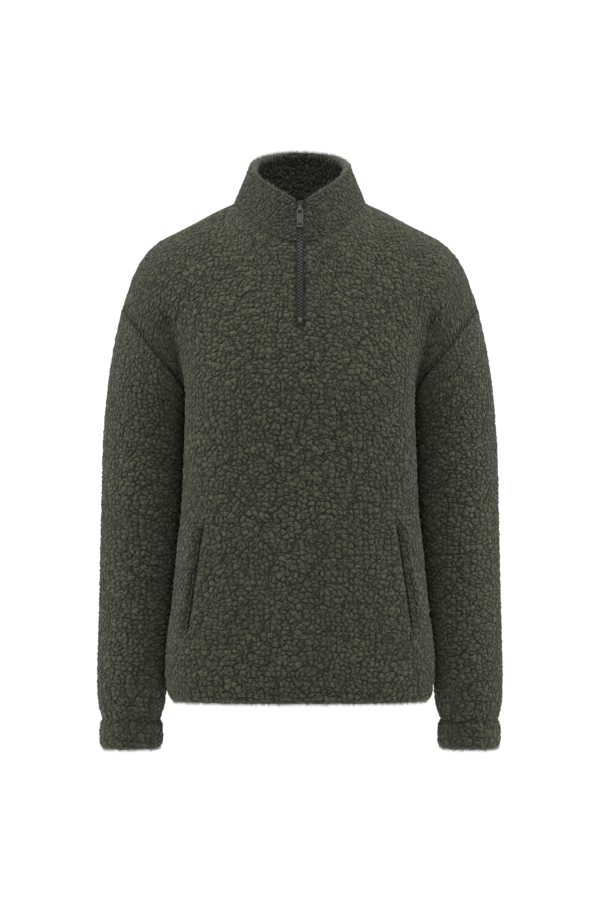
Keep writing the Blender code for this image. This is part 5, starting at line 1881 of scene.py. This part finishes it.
class SHERPA_OT_make_panels(bpy.types.Operator):
    """Make the front and the back"""

    bl_idname = "sherpa.make_panels"
    bl_label = "Front and Back"

    def execute(self, context):
        pile = pile_material("fleece", BODY_STRETCH)
        tapes = [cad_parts["zip_tape_left"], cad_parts["zip_tape_right"]]
        for name, facing, extra in (("front", -1.0, tapes), ("back", 1.0, [])):
            settle(dressed(make_panel(facing), pile, BODY_STRETCH), name, extra)
        return {"FINISHED"}


class SHERPA_OT_make_sleeves(bpy.types.Operator):
    """Make the sleeves and the cuffs"""

    bl_idname = "sherpa.make_sleeves"
    bl_label = "Sleeves and Cuffs"

    def execute(self, context):
        pile = pile_material("fleece_sleeve", SLEEVE_STRETCH)
        for side_name, side in SIDES.items():
            for cut in ("sleeve", "cuff"):
                name = cut + "_" + side_name
                settle(dressed(make_tube(name, side), pile, SLEEVE_STRETCH), name)
        return {"FINISHED"}


class SHERPA_OT_make_collar(bpy.types.Operator):
    """Make the stand collar"""

    bl_idname = "sherpa.make_collar"
    bl_label = "Collar"

    def execute(self, context):
        # COLLAR_SHADE darkens the collar's colour as painted shade.
        pile = pile_material("fleece_collar", COLLAR_STRETCH, COLLAR_SHADE)
        settle(dressed(make_collar_band(), pile, COLLAR_STRETCH), "collar")
        return {"FINISHED"}


class SHERPA_OT_make_pockets(bpy.types.Operator):
    """Make the strips of cloth in the pocket mouths"""

    bl_idname = "sherpa.make_pockets"
    bl_label = "Pocket Facings"

    def execute(self, context):
        # POCKET_SHADE darkens the strips' colour as painted shade.
        pile = pile_material("fleece_pocket", BODY_STRETCH, POCKET_SHADE)
        for side_name, side in SIDES.items():
            name = "pocket_facing_" + side_name
            strip = dressed(make_facing(name, side), pile, BODY_STRETCH, FACING_RELIEF)
            settle(strip, name)
        return {"FINISHED"}


class SHERPA_OT_make_zip(bpy.types.Operator):
    """Make the zip's teeth, slider and pull tab, and finish its tapes and stop"""

    bl_idname = "sherpa.make_zip"
    bl_label = "Zip"

    def execute(self, context):
        colour = tuple(context.scene.sherpa_zip.colour)
        metal = metal_material("zip_metal", colour, [DULLED_SHARE * value for value in colour])
        bright = metal_material("zip_bright_metal", *BRIGHT_METAL)
        # The slider's darker metal is painted shade.
        slider_shade = metal_material("zip_dull_metal", *SLIDER_SHADE_METAL)
        tape = tape_material()
        finishes = {"zip_tape_left": tape, "zip_tape_right": tape, "zip_bottom_stop": bright}
        for name, material in finishes.items():
            for material_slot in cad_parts[name].material_slots:
                material_slot.material = material
        line = zip_line()
        place = zip_frame(line, PIVOT_Z, 0.0)
        slider = make_slider_body(place, slider_shade)
        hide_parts("zip_slider")
        pull = make_pull(place, metal)
        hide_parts("zip_pull")
        pieces = (
            (slider, "garment"),
            (make_bail(place, bright), "garment"),
            (pull, "pull_tab"),
            (make_teeth(line, bright), "garment"),
        )
        for piece, body in pieces:
            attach(piece, body)
        return {"FINISHED"}


class SHERPA_OT_make_stage(bpy.types.Operator):
    """Make the white studio with its lights and the camera"""

    bl_idname = "sherpa.make_stage"
    bl_label = "Studio"

    def execute(self, context):
        scene = context.scene
        stage_settings = scene.sherpa_stage
        world = bpy.data.worlds.new("white_studio")
        world.use_nodes = True
        background = world.node_tree.nodes["Background"]
        background.inputs["Color"].default_value = (1.0, 1.0, 1.0, 1.0)
        background.inputs["Strength"].default_value = stage_settings.brightness
        scene.world = world
        place = (0.0, 0.0, -stage_settings.floor_drop)
        bpy.ops.mesh.primitive_circle_add(
            vertices=FLOOR_SIDES, radius=FLOOR_RADIUS, fill_type="NGON", location=place
        )
        floor = context.object
        floor.name = "studio_floor"
        floor.data.materials.append(new_material("studio_floor", FLOOR_COLOUR, FLOOR_SURFACE)[0])
        for name, power, size, place in LIGHTS:
            light = bpy.data.lights.new(name, "AREA")
            light.shape = "DISK"
            light.size = size
            light.energy = getattr(stage_settings, power)
            lamp = linked(name, light)
            lamp.location = place
            aim = Vector(LIGHTS_AIM) - lamp.location
            lamp.rotation_euler = aim.to_track_quat("-Z", "Y").to_euler()
        camera_data = bpy.data.cameras.new("front_camera")
        camera_data.lens = CAMERA_LENS
        camera_data.sensor_width = CAMERA_SENSOR
        camera = linked("front_camera", camera_data)
        camera.location = CAMERA_PLACE
        camera.rotation_euler = (math.pi / 2, 0.0, 0.0)
        scene.camera = camera
        scene.view_settings.view_transform = "Standard"
        return {"FINISHED"}


STEPS = (
    SHERPA_OT_make_panels,
    SHERPA_OT_make_sleeves,
    SHERPA_OT_make_collar,
    SHERPA_OT_make_pockets,
    SHERPA_OT_make_zip,
    SHERPA_OT_make_stage,
)


class SHERPA_PT_sidebar(bpy.types.Panel):
    """Settings and steps of the sweatshirt"""

    bl_label = "Sherpa Sweatshirt"
    bl_space_type = "VIEW_3D"
    bl_region_type = "UI"
    bl_category = "Sherpa"

    def draw(self, context):
        layout = self.layout
        for settings in (context.scene.sherpa_pile, context.scene.sherpa_zip, context.scene.sherpa_stage):
            for name in settings.__annotations__:
                layout.prop(settings, name)
        for step in STEPS:
            layout.operator(step.bl_idname)


SETTINGS = {
    "sherpa_pile": SherpaPileSettings,
    "sherpa_zip": SherpaZipSettings,
    "sherpa_stage": SherpaStageSettings,
}


def register():
    for made in (*SETTINGS.values(), *STEPS, SHERPA_PT_sidebar):
        bpy.utils.register_class(made)
    for name, settings in SETTINGS.items():
        setattr(bpy.types.Scene, name, bpy.props.PointerProperty(type=settings))


def unregister():
    for name in SETTINGS:
        delattr(bpy.types.Scene, name)
    for made in (SHERPA_PT_sidebar, *STEPS[::-1], *SETTINGS.values()):
        bpy.utils.unregister_class(made)


def main():
    register()
    bpy.ops.sherpa.make_panels()
    bpy.ops.sherpa.make_sleeves()
    bpy.ops.sherpa.make_collar()
    bpy.ops.sherpa.make_pockets()
    bpy.ops.sherpa.make_zip()
    bpy.ops.sherpa.make_stage()


if __name__ == "__main__":
    main()
